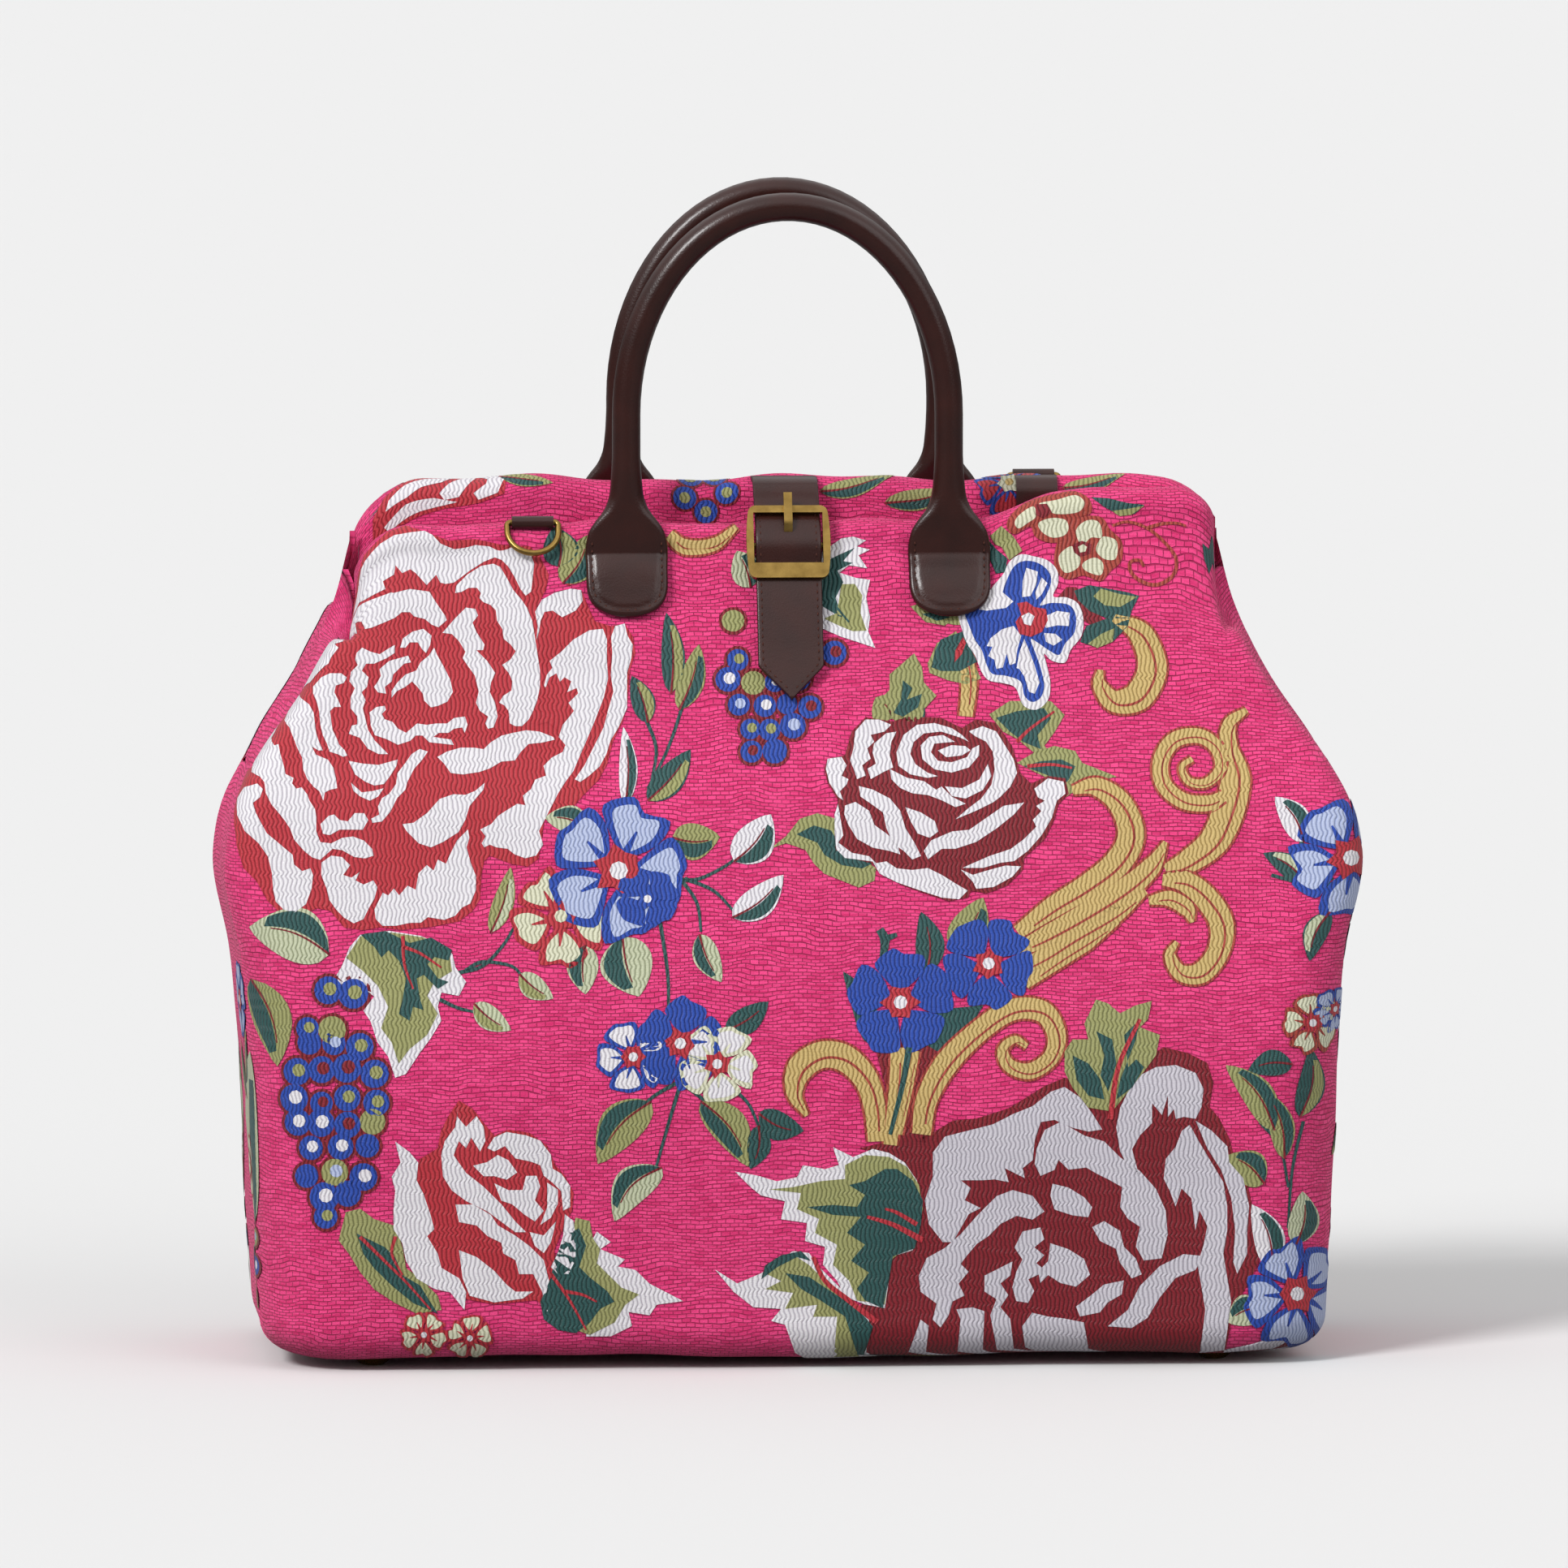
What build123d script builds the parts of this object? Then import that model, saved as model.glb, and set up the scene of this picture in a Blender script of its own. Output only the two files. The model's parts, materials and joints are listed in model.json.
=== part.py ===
from build123d import *
import os
from math import asin, atan, cos, radians, sin

# Carpet bag with a hinged steel mouth frame. Sizes are in millimetres.
# The origin is on the ground under the middle of the base, +Z up, the front towards -Y.

# Carpet body: each level has a height and a corner radius, says how much longer and
# deeper than the base it is, and its fold line stands out at each end of the bag.
foot_height = 4.5
carpet = 2.6
base_length = 404
base_depth = 170
base_corner = 34
base_rounding = 13
low_height = 60
low_longer = 7
low_deeper = 3
belly_height = 110
belly_longer = 12
belly_deeper = 0
flank_height = 155
flank_longer = 20
flank_deeper = -18
flank_corner = 22
shoulder_height = 192
shoulder_longer = 30
shoulder_deeper = -40
shoulder_corner = 14
body_top_longer = 4
body_above_hinge = 2
low_fold = 1
fold = 4
tuck_gap = 1.0

# Upper panels, which swing with the mouth frame: each level has its height above the
# hinge and how much shorter than the panel's foot it is.
hinge_height = 226
panel_foot_half_depth = 50
panel_foot_shorter = 6.5
panel_corner = 7
panel_middle_rise = 28
panel_middle_shorter = 28.5
panel_high_rise = 55
panel_high_shorter = 58.5
panel_top_shorter = 71.5
flange_depth = 12
end_fold_gap = 0.3
end_fold_wall = 2.2
end_fold_rise = 57

# Rolled rims and the frame strips inside them
front_rise = 89
back_rise = 105
mouth_gap = 3.0
rim_width = 15.5
rim_height = 9
rim_overlap = 2
rim_rounding = 4.4
rim_leg_rise = 58
frame_corner = 22
frame_inset = 4.5
strip_width = 12
strip_thickness = 2.0
strip_play = 0.3
lug_height = 24
lug_radius = 6
lug_shoulder = 1
layer_gap = 0.3
rivet_radius = 2.0
rivet_play = 0.08
rivet_head_radius = 4
rivet_head = 1.2
rivet_head_gap = 0.2

# Lining, base board and feet
lining_wall = 0.8
lining_gap = 0.3
lining_below_top = 22
board_end_margin = 16
board_side_margin = 14
board_corner = 22
board_thickness = 3
foot_radius = 7
foot_flat = 2.5
foot_inset_x = 42
foot_inset_y = 30
shank_radius = 2
shank_play = 0.1
washer_radius = 5
washer_height = 1

# Handles
handle_spacing = 123
handle_radius = 5.0
handle_core_radius = 3.1
handle_core_play = 0.1
handle_straight = 28
back_handle_shorter = 11
handle_arch = 79
neck_length = 11.5
neck_width = 13
neck_radius = 1.5
neck_rounding = 1.2
neck_lift = 3.5
neck_gap = 0.3
seat_gap = 0.1
tab_width = 31
tab_thickness = 3
tab_drop = 27
tab_shoulder = 5
tab_bend = 10

# Closing strap, buckle and chape
strap_width = 25
strap_thickness = 2.2
strap_seat = 0.3
strap_tail = 61
strap_tip = 13
strap_back_drop = 60
strap_bend = 6
strap_crown = 0.5
strap_step = 8
strap_slot_width = 4.2
strap_slot_start = 1.0
strap_slot_end = 8.5
buckle_place = -1.0
buckle_length = 32
buckle_height = 29
buckle_thickness = 2.5
buckle_bow = 1.2
buckle_corner = 3
buckle_side = 2.8
buckle_top_bar = 2.8
buckle_low_bar = 6
buckle_lift = 5.45
bar_radius = 1.2
bar_play = 0.1
cheek_radius = 2.1
cheek_foot = 6.3
chape_width = 24
chape_leather = 1.3
chape_length = 33
chape_slot = 4.6
chape_slot_length = 10.4
prong_width = 3.2
prong_thickness = 2.2
prong_reach = 19
prong_rise = 6
prong_bend = 4
prong_eye_wall = 1.3
prong_play = 0.15

# D-rings and their loops
ring_place = 97
ring_wire = 1.2
ring_half_length = 9.7
ring_corner = 1.5
ring_side = 4
loop_width = 15.8
loop_leather = 2.2
loop_seat = 0.3
loop_depth = 15
loop_eye_wall = 1.1
loop_eye_play = 0.15
loop_eye_angle = 65

# Values that follow from the sizes above
FRONT = -1
BACK = 1
body_top = hinge_height + body_above_hinge
body_top_half_depth = panel_foot_half_depth + tuck_gap + carpet
front_top = hinge_height + front_rise
back_top = hinge_height + back_rise
panel_foot_length = base_length + body_top_longer - panel_foot_shorter
panel_top_length = panel_foot_length - panel_top_shorter
frame_half_length = panel_top_length / 2 - frame_inset
rim_inner = mouth_gap / 2
rim_outer = rim_inner + rim_width
rim_middle = rim_inner + rim_width / 2
layer_step = (strip_thickness + layer_gap) / 2


def rim_top(side):
    return front_top if side == FRONT else back_top


def panel_top(side):
    """Height at which a panel's flat face runs into its rolled rim."""
    return rim_top(side) - rim_height + rim_overlap


def lean(side):
    """Angle of a panel's face from the vertical, in radians."""
    return atan((panel_foot_half_depth - rim_outer) / (panel_top(side) - hinge_height))


def half_depth(side, height):
    """Half depth of the panels' outer face at a height."""
    share = (height - hinge_height) / (panel_top(side) - hinge_height)
    return panel_foot_half_depth + (rim_outer - panel_foot_half_depth) * share


def face_plane(side):
    """Sketch plane across a panel: x runs up its face, y stands out from it."""
    angle = lean(side)
    return Plane(
        origin=(0, side * rim_outer, panel_top(side)),
        x_dir=(0, -side * sin(angle), cos(angle)),
        z_dir=(-side, 0, 0),
    )


def face_point(side, up, out):
    """Point at a distance up a panel's face and out from it, as (y, z)."""
    point = face_plane(side).from_local_coords((up, out, 0))
    return (point.Y, point.Z)


def level(height, length, depth, corner, fold_out):
    """Outline of the bag at one height, with a fold line standing out at each end."""
    half_x = length / 2 - fold_out
    with BuildSketch(Plane.XY.offset(height)) as outline:
        with BuildLine():
            Polyline(
                (half_x, -depth / 2),
                (half_x + fold_out, 0),
                (half_x, depth / 2),
                (-half_x, depth / 2),
                (-half_x - fold_out, 0),
                (-half_x, -depth / 2),
                close=True,
            )
        make_face()
        corners = outline.vertices().sort_by(lambda v: abs(v.Y))[2:]
        fillet(corners, corner)
    return outline.sketch


def body_form(inset, lift):
    """Solid form of the carpet body, drawn in by an inset, its floor lifted."""
    top_deeper = 2 * body_top_half_depth - base_depth
    levels = [
        (foot_height, 0, 0, base_corner, low_fold),
        (low_height, low_longer, low_deeper, base_corner, low_fold),
        (belly_height, belly_longer, belly_deeper, base_corner, low_fold),
        (flank_height, flank_longer, flank_deeper, flank_corner, fold),
        (shoulder_height, shoulder_longer, shoulder_deeper, shoulder_corner, fold),
        (body_top, body_top_longer, top_deeper, shoulder_corner, fold),
    ]
    length = base_length - 2 * inset
    depth = base_depth - 2 * inset
    with BuildPart() as form:
        loft(
            [
                level(height, length + longer, depth + deeper, corner - inset, fold_out)
                for height, longer, deeper, corner, fold_out in levels
            ]
        )
        if lift:
            split(bisect_by=Plane.XY.offset(foot_height + lift), keep=Keep.TOP)
        floor = form.faces().sort_by(Axis.Z)[0]
        fillet(floor.edges(), base_rounding - inset)
    return form.part


def panel_length(height):
    """Overall length of the panels at a height, straight between their levels."""
    levels = [
        (hinge_height, 0),
        (hinge_height + panel_middle_rise, panel_middle_shorter),
        (hinge_height + panel_high_rise, panel_high_shorter),
        (panel_top(FRONT), panel_top_shorter),
    ]
    for (low, shorter_low), (high, shorter_high) in zip(levels, levels[1:]):
        if low <= height <= high:
            share = (height - low) / (high - low)
            return panel_foot_length - shorter_low - share * (shorter_high - shorter_low)
    return panel_top_length


def upper_form(side, inset):
    """Solid form between the two panels, with this side's slope on both faces."""
    heights = [
        hinge_height,
        hinge_height + panel_middle_rise,
        hinge_height + panel_high_rise,
        panel_top(side),
    ]
    with BuildPart() as form:
        loft(
            [
                level(
                    height,
                    panel_length(height) - 2 * inset,
                    2 * (half_depth(side, height) - inset),
                    panel_corner - inset,
                    fold,
                )
                for height in heights
            ]
        )
    return form.part


def rim_path(side, leg_end):
    """Line of a frame strip: up one leg, along the top and down the other leg."""
    half = frame_half_length + side * layer_step
    top = rim_top(side) - rim_height / 2
    return FilletPolyline(
        (-half, leg_end), (-half, top), (half, top), (half, leg_end), radius=frame_corner
    )


def hoop(side, leg_end, width, thickness, rounding):
    """Sweep of a flat section along a frame strip's line."""
    with BuildPart() as piece:
        with BuildLine(Plane.XZ.offset(-side * rim_middle)) as path:
            rim_path(side, leg_end)
        start = Plane(origin=path.line @ 0, x_dir=(0, 1, 0), z_dir=path.line % 0)
        with BuildSketch(start):
            if rounding:
                RectangleRounded(width, thickness, rounding)
            else:
                Rectangle(width, thickness)
        sweep()
    return piece.part


def panel(side):
    """Upper panel: carpet folded round the frame strip as a rolled rim, with turned ends."""
    angle = lean(side)
    cut = Plane(
        origin=(0, side * (rim_outer - flange_depth), panel_top(side)),
        x_dir=(1, 0, 0),
        z_dir=(0, side * cos(angle), sin(angle)),
    )
    slot_width = strip_width + 2 * strip_play
    slot_height = strip_thickness + 2 * strip_play
    leg_end = hinge_height + rim_leg_rise
    with BuildPart() as piece:
        add(upper_form(side, 0))
        add(upper_form(side, carpet), mode=Mode.SUBTRACT)
        split(bisect_by=cut, keep=Keep.TOP)
        add(hoop(side, leg_end, rim_width, rim_height, rim_rounding))
        add(hoop(side, leg_end, slot_width, slot_height, 0), mode=Mode.SUBTRACT)
    return piece.part


def frame_strip(side):
    """Steel hoop whose legs end in lugs that lie side by side on the hinge line."""
    lug_top = hinge_height + lug_height
    leg_x = frame_half_length + side * layer_step
    with BuildPart() as piece:
        add(hoop(side, lug_top, strip_width, strip_thickness, 0))
        for end in (-1, 1):
            inner = end * leg_x - strip_thickness / 2
            with BuildSketch(Plane.YZ.offset(inner)):
                with Locations((side * rim_middle, lug_top)):
                    Rectangle(strip_width, lug_shoulder)
                with Locations((0, hinge_height)):
                    Circle(lug_radius)
                make_hull()
                with Locations((0, hinge_height)):
                    Circle(rivet_radius + rivet_play, mode=Mode.SUBTRACT)
            extrude(amount=strip_thickness)
    return piece.part


def rivet(end):
    """Hinge rivet through the two lugs at one end of the mouth."""
    grip = 2 * strip_thickness + layer_gap + 2 * rivet_head_gap
    inner = end * frame_half_length - grip / 2
    with BuildPart() as piece:
        with BuildSketch(Plane.YZ.offset(inner)):
            with Locations((0, hinge_height)):
                Circle(rivet_radius)
        extrude(amount=grip)
        for start, direction in ((inner, -1), (inner + grip, 1)):
            with BuildSketch(Plane.YZ.offset(start)):
                with Locations((0, hinge_height)):
                    Circle(rivet_head_radius)
            extrude(amount=direction * rivet_head)
    return piece.part


def end_fold(end):
    """Fold of carpet that joins the two panels at one end of the bag."""
    heights = [
        body_top + end_fold_gap,
        hinge_height + panel_middle_rise,
        hinge_height + end_fold_rise,
    ]
    with BuildPart() as piece:
        for height in heights:
            crease = end * panel_length(height) / 2
            inset = end * end_fold_wall
            front = half_depth(FRONT, height) - flange_depth - end_fold_gap
            back = half_depth(BACK, height) - flange_depth - end_fold_gap
            front_x = crease - end * fold * front / half_depth(FRONT, height)
            back_x = crease - end * fold * back / half_depth(BACK, height)
            with BuildSketch(Plane.XY.offset(height)):
                with BuildLine():
                    Polyline(
                        (front_x, -front),
                        (crease, 0),
                        (back_x, back),
                        (back_x - inset, back),
                        (crease - inset, 0),
                        (front_x - inset, -front),
                        close=True,
                    )
                make_face()
        loft(ruled=True)
    return piece.part


def foot_places():
    """Where the feet stand, by name."""
    x = base_length / 2 - foot_inset_x
    y = base_depth / 2 - foot_inset_y
    return {
        "foot_front_left": (-x, -y),
        "foot_front_right": (x, -y),
        "foot_back_left": (-x, y),
        "foot_back_right": (x, y),
    }


def foot(place):
    """Domed stud with a shank through the carpet and the board, closed by a washer."""
    x, y = place
    shank_top = foot_height + carpet + board_thickness
    upright = Plane(origin=(x, y, 0), x_dir=(1, 0, 0), z_dir=(0, -1, 0))
    with BuildPart() as piece:
        with BuildSketch(upright):
            with BuildLine():
                Line((0, 0), (foot_flat, 0))
                TangentArc((foot_flat, 0), (foot_radius, foot_height), tangent=(1, 0))
                Line((foot_radius, foot_height), (0, foot_height))
                Line((0, foot_height), (0, 0))
            make_face()
        revolve(axis=Axis((x, y, 0), (0, 0, 1)))
        with BuildSketch(Plane(origin=(x, y, foot_height))):
            Circle(shank_radius)
        extrude(amount=shank_top - foot_height)
        with BuildSketch(Plane(origin=(x, y, shank_top))):
            Circle(washer_radius)
        extrude(amount=washer_height)
    return piece.part


def handle_axis(side):
    """Where a handle bends above its tabs, as (y, z)."""
    return (side * (rim_outer + seat_gap + tab_thickness), rim_top(side) + neck_lift)


def handle_spring(side):
    """Height at which a handle's legs run into its arch."""
    straight = handle_straight if side == FRONT else handle_straight - back_handle_shorter
    return handle_axis(side)[1] + neck_length + straight


def handle_path(side, start_height):
    """Line of a handle: up one leg, over the arch and down the other leg."""
    half = handle_spacing / 2
    spring = handle_spring(side)
    left = Line((-half, start_height), (-half, spring))
    arch = EllipticalCenterArc(
        (0, spring),
        half,
        handle_arch,
        start_angle=180,
        arc_size=-180,
    )
    right = Line((half, spring), (half, start_height))
    return left, arch, right


def handle_sweep(side, start_height, radius):
    """Round bar along a handle's line."""
    plane_y = handle_axis(side)[0]
    with BuildPart() as piece:
        with BuildLine(Plane.XZ.offset(-plane_y)) as path:
            handle_path(side, start_height)
        with BuildSketch(Plane(origin=path.line @ 0, z_dir=path.line % 0)):
            Circle(radius)
        sweep()
    return piece.part


def handle_neck(side):
    """Flattened end of a handle, where it bends above its right tab."""
    y, z = handle_axis(side)
    x = handle_spacing / 2
    with BuildPart() as piece:
        with BuildSketch(Plane(origin=(x, y, z))):
            RectangleRounded(neck_width, 2 * neck_radius, neck_rounding)
        with BuildSketch(Plane(origin=(x, y, z + neck_length))):
            Circle(handle_radius)
        loft()
        with BuildSketch(Plane.YZ.offset(x)):
            with Locations((y, z)):
                Circle(neck_radius)
        extrude(amount=neck_width / 2, both=True)
    return piece.part


def handle(side):
    """Rolled leather handle with a flattened neck at each end."""
    tube_start = handle_axis(side)[1] + neck_length
    neck = handle_neck(side)
    with BuildPart() as piece:
        add(handle_sweep(side, tube_start, handle_radius))
        add(neck)
        mirror(neck, about=Plane.YZ)
        add(
            handle_sweep(side, tube_start, handle_core_radius + handle_core_play),
            mode=Mode.SUBTRACT,
        )
    return piece.part


def handle_core(side):
    """Cord that fills the rolled handle."""
    start = handle_axis(side)[1] + neck_length + handle_core_play
    return handle_sweep(side, start, handle_core_radius)


def handle_tab(side, end):
    """Leather tab below a handle's bend, lying on the panel and its rim."""
    x = end * handle_spacing / 2
    top = handle_axis(side)[1] - neck_radius - neck_gap
    middle = seat_gap + tab_thickness / 2
    bend = face_point(side, 0, middle)
    foot_point = face_point(side, -tab_drop, middle)
    low = foot_point[1] + tab_width / 2
    with BuildPart() as piece:
        with BuildSketch(Plane.YZ.offset(x)):
            with BuildLine() as line:
                FilletPolyline(
                    foot_point,
                    (side * (rim_outer + middle), bend[1]),
                    (side * (rim_outer + middle), top),
                    radius=tab_bend,
                )
            trace(line_width=tab_thickness)
        extrude(amount=tab_width / 2, both=True)
        with BuildSketch(Plane.XZ):
            with BuildLine():
                ThreePointArc(
                    (x - tab_width / 2, low),
                    (x, low - tab_width / 2),
                    (x + tab_width / 2, low),
                )
                Line((x + tab_width / 2, low), (x + tab_width / 2, low + tab_shoulder))
                Spline(
                    (x + tab_width / 2, low + tab_shoulder),
                    (x + neck_width / 2, top),
                    tangents=((0, 1), (0, 1)),
                )
                Line((x + neck_width / 2, top), (x - neck_width / 2, top))
                Spline(
                    (x - neck_width / 2, top),
                    (x - tab_width / 2, low + tab_shoulder),
                    tangents=((0, -1), (0, -1)),
                )
                Line((x - tab_width / 2, low + tab_shoulder), (x - tab_width / 2, low))
            make_face()
        extrude(amount=base_depth, both=True, mode=Mode.INTERSECT)
    return piece.part


def bar_place():
    """Middle of the buckle's centre bar, up the front panel's face and out from it."""
    return (buckle_place, seat_gap / 2 + chape_leather + bar_play + bar_radius)


def buckle_plane(out):
    """Sketch plane along the front panel's face: x to the right, y up the face."""
    across = face_plane(FRONT)
    origin = across.from_local_coords((buckle_place, out, 0))
    return Plane(origin=origin, x_dir=(1, 0, 0), z_dir=across.y_dir)


def strap_route():
    """Middle line of the strap, from the back panel over the mouth to its tip, as (y, z)."""
    half = strap_thickness / 2
    out = half + strap_seat
    over_bar = bar_place()[1] + bar_radius + bar_play + chape_leather + out + strap_crown
    under_bars = buckle_lift - strap_seat - half
    on_chape = seat_gap / 2 + 2 * chape_leather + out
    top_bar = buckle_place + buckle_height / 2 - buckle_top_bar
    low_bar = buckle_place - buckle_height / 2 + buckle_low_bar
    chape_end = buckle_place - chape_length
    return [
        face_point(BACK, -strap_back_drop, out),
        (rim_outer + out, panel_top(BACK)),
        (rim_outer + out, back_top + out),
        (rim_inner, back_top + out),
        face_point(FRONT, top_bar, under_bars),
        face_point(FRONT, buckle_place, over_bar),
        face_point(FRONT, low_bar, under_bars),
        face_point(FRONT, chape_end, on_chape),
        face_point(FRONT, chape_end - strap_step, out),
        face_point(FRONT, buckle_place - strap_tail, out),
    ]


def closure_strap():
    """Strap from the back panel over the top and through the buckle, with a pointed tip."""
    route = strap_route()
    tip = face_point(FRONT, buckle_place - strap_tail, 0)[1]
    over_rim = rim_rounding + strap_seat + strap_thickness / 2
    bends = [strap_bend for _ in route[1:-1]]
    bends[1:3] = [over_rim, over_rim]
    with BuildPart() as piece:
        with BuildSketch(Plane.YZ):
            with BuildLine():
                FilletPolyline(*route, radius=bends)
            trace(line_width=strap_thickness)
        extrude(amount=strap_width / 2, both=True)
        with BuildSketch(Plane.XZ):
            with BuildLine():
                Polyline(
                    (0, tip),
                    (strap_width / 2, tip + strap_tip),
                    (strap_width, tip + strap_tip),
                    (strap_width, tip - strap_tip),
                    (-strap_width, tip - strap_tip),
                    (-strap_width, tip + strap_tip),
                    (-strap_width / 2, tip + strap_tip),
                    close=True,
                )
            make_face()
        extrude(amount=base_depth, mode=Mode.SUBTRACT)
        with BuildSketch(buckle_plane(0)):
            with Locations((0, (strap_slot_start + strap_slot_end) / 2)):
                length = strap_slot_end - strap_slot_start
                SlotOverall(length, strap_slot_width, rotation=90)
        extrude(amount=buckle_height, mode=Mode.SUBTRACT)
    return piece.part


def buckle_frame():
    """Buckle with bowed sides, a wide lower bar and a centre bar held by two cheeks."""
    half_x = buckle_length / 2
    half_y = buckle_height / 2
    inner_x = half_x - buckle_side
    bar_up, bar_out = bar_place()
    with BuildPart() as piece:
        with BuildSketch(buckle_plane(buckle_lift)):
            with BuildLine():
                Line((-half_x + buckle_bow, half_y), (half_x - buckle_bow, half_y))
                ThreePointArc(
                    (half_x - buckle_bow, half_y), (half_x, 0), (half_x - buckle_bow, -half_y)
                )
                Line((half_x - buckle_bow, -half_y), (-half_x + buckle_bow, -half_y))
                ThreePointArc(
                    (-half_x + buckle_bow, -half_y), (-half_x, 0), (-half_x + buckle_bow, half_y)
                )
            make_face()
            fillet(vertices(), buckle_corner)
            with Locations((0, (buckle_low_bar - buckle_top_bar) / 2)):
                Rectangle(
                    2 * inner_x,
                    buckle_height - buckle_top_bar - buckle_low_bar,
                    mode=Mode.SUBTRACT,
                )
        extrude(amount=buckle_thickness)
        for end in (-1, 1):
            side_x = end * (inner_x + half_x - buckle_bow / 2) / 2
            with BuildSketch(face_plane(FRONT).offset(side_x)):
                with Locations((bar_up, bar_out)):
                    Circle(cheek_radius)
                with Locations((bar_up, buckle_lift + buckle_thickness / 2)):
                    Rectangle(cheek_foot, buckle_thickness / 2)
                make_hull()
            extrude(amount=(half_x - buckle_bow / 2 - inner_x) / 2, both=True)
        with BuildSketch(face_plane(FRONT)):
            with Locations((bar_up, bar_out)):
                Circle(bar_radius)
        extrude(amount=inner_x + buckle_side / 2, both=True)
    return piece.part


def buckle_chape():
    """Leather folded round the centre bar and stitched to the panel, slotted for the prong."""
    bar_up, bar_out = bar_place()
    hole = bar_radius + bar_play
    with BuildPart() as piece:
        with BuildSketch(face_plane(FRONT)):
            with Locations((bar_up - chape_length / 2, seat_gap / 2 + chape_leather)):
                Rectangle(chape_length, 2 * chape_leather)
            with Locations((bar_up, bar_out)):
                Circle(hole + chape_leather)
                Circle(hole, mode=Mode.SUBTRACT)
        extrude(amount=chape_width / 2, both=True)
        with BuildSketch(buckle_plane(0)):
            Rectangle(chape_slot, chape_slot_length)
        extrude(amount=buckle_height, mode=Mode.SUBTRACT)
    return piece.part


def buckle_prong():
    """Prong that turns on the centre bar and rests on the top bar."""
    bar_up, bar_out = bar_place()
    rest_out = buckle_lift + buckle_thickness + prong_play + prong_thickness / 2
    eye = bar_radius + bar_play
    with BuildPart() as piece:
        with BuildSketch(face_plane(FRONT)):
            with BuildLine():
                FilletPolyline(
                    (bar_up + eye, bar_out + eye / 2),
                    (bar_up + prong_rise, rest_out),
                    (bar_up + prong_reach, rest_out - prong_play),
                    radius=prong_bend,
                )
            trace(line_width=prong_thickness)
            with Locations((bar_up, bar_out)):
                Circle(eye + prong_eye_wall)
                Circle(eye, mode=Mode.SUBTRACT)
        extrude(amount=prong_width / 2, both=True)
    return piece.part


def eye_place(side):
    """Middle of a D-ring's straight bar, as (y, z)."""
    angle = radians(loop_eye_angle)
    reach = rim_rounding + loop_seat + ring_wire + loop_eye_play + loop_eye_wall
    corner_y = rim_outer - rim_rounding
    corner_z = rim_top(side) - rim_rounding
    return (side * (corner_y + reach * cos(angle)), corner_z + reach * sin(angle))


def ring_loop(side, x):
    """Leather loop that comes out of the mouth, over the rim and round a D-ring."""
    out = loop_seat + loop_leather / 2
    top = rim_top(side)
    eye = ring_wire + loop_eye_play
    end_y = eye_place(side)[0] - side * (eye + loop_eye_wall / 2)
    with BuildPart() as piece:
        with BuildSketch(Plane.YZ.offset(x)):
            with BuildLine():
                FilletPolyline(
                    (0, top - loop_depth),
                    (0, top + out),
                    (end_y, top + out),
                    radius=rim_rounding + out,
                )
            trace(line_width=loop_leather)
            with Locations(eye_place(side)):
                Circle(eye + loop_eye_wall)
                Circle(eye, mode=Mode.SUBTRACT)
        extrude(amount=loop_width / 2, both=True)
    return piece.part


def ring_lean(side):
    """Angle of a resting D-ring below the level, in radians."""
    reach = rim_rounding + loop_seat + ring_wire
    arm = reach + loop_eye_play + loop_eye_wall
    return radians(180 - loop_eye_angle) - asin((reach + loop_seat) / arm)


def d_ring(side, x):
    """D-ring lying over the rim, its straight bar in the loop's eye."""
    y, z = eye_place(side)
    angle = ring_lean(side)
    flat = Plane(
        origin=(x, y, z), x_dir=(1, 0, 0), z_dir=(0, sin(angle), side * cos(angle))
    )
    straight = ring_half_length - ring_corner
    with BuildPart() as piece:
        with BuildLine(flat) as path:
            bar = Line((0, 0), (straight, 0))
            turn = JernArc(bar @ 1, (1, 0), ring_corner, 90)
            arm = Line(turn @ 1, (ring_half_length, ring_side))
            JernArc(arm @ 1, (0, 1), ring_half_length, 90)
            mirror(about=Plane(origin=(x, y, z), z_dir=(1, 0, 0)))
        with BuildSketch(Plane(origin=(x, y, z), z_dir=(1, 0, 0))):
            Circle(ring_wire)
        sweep()
    return piece.part


def carpet_body():
    """Lower shell of the bag, pierced for the feet."""
    with BuildPart() as piece:
        add(body_form(0, 0))
        add(body_form(carpet, carpet), mode=Mode.SUBTRACT)
        with BuildSketch(Plane.XY.offset(foot_height)):
            with Locations(*foot_places().values()):
                Circle(shank_radius + shank_play)
        extrude(amount=carpet, mode=Mode.SUBTRACT)
    return piece.part


def base_board():
    """Stiff board that keeps the bottom flat."""
    with BuildPart() as piece:
        with BuildSketch(Plane.XY.offset(foot_height + carpet)):
            RectangleRounded(
                base_length - 2 * board_end_margin,
                base_depth - 2 * board_side_margin,
                board_corner,
            )
            with Locations(*foot_places().values()):
                Circle(shank_radius + shank_play, mode=Mode.SUBTRACT)
        extrude(amount=board_thickness)
    return piece.part


def lining():
    """Thin cloth bag inside the carpet body."""
    out = carpet + lining_gap
    floor = carpet + board_thickness + washer_height + lining_gap
    with BuildPart() as piece:
        add(body_form(out, floor))
        add(body_form(out + lining_wall, floor + lining_wall), mode=Mode.SUBTRACT)
        split(bisect_by=Plane.XY.offset(body_top - lining_below_top), keep=Keep.BOTTOM)
    return piece.part


def save(piece, name):
    """Label a finished piece and write it as its own file."""
    piece.label = name
    export_step(piece, f"parts/{name}.step")


os.makedirs("parts", exist_ok=True)

save(carpet_body(), "carpet_body")
save(base_board(), "base_board")
save(lining(), "lining")
for name, place in foot_places().items():
    save(foot(place), name)

for end, end_name in ((-1, "left"), (1, "right")):
    save(end_fold(end), f"end_fold_{end_name}")
    save(rivet(end), f"hinge_rivet_{end_name}")

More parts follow.
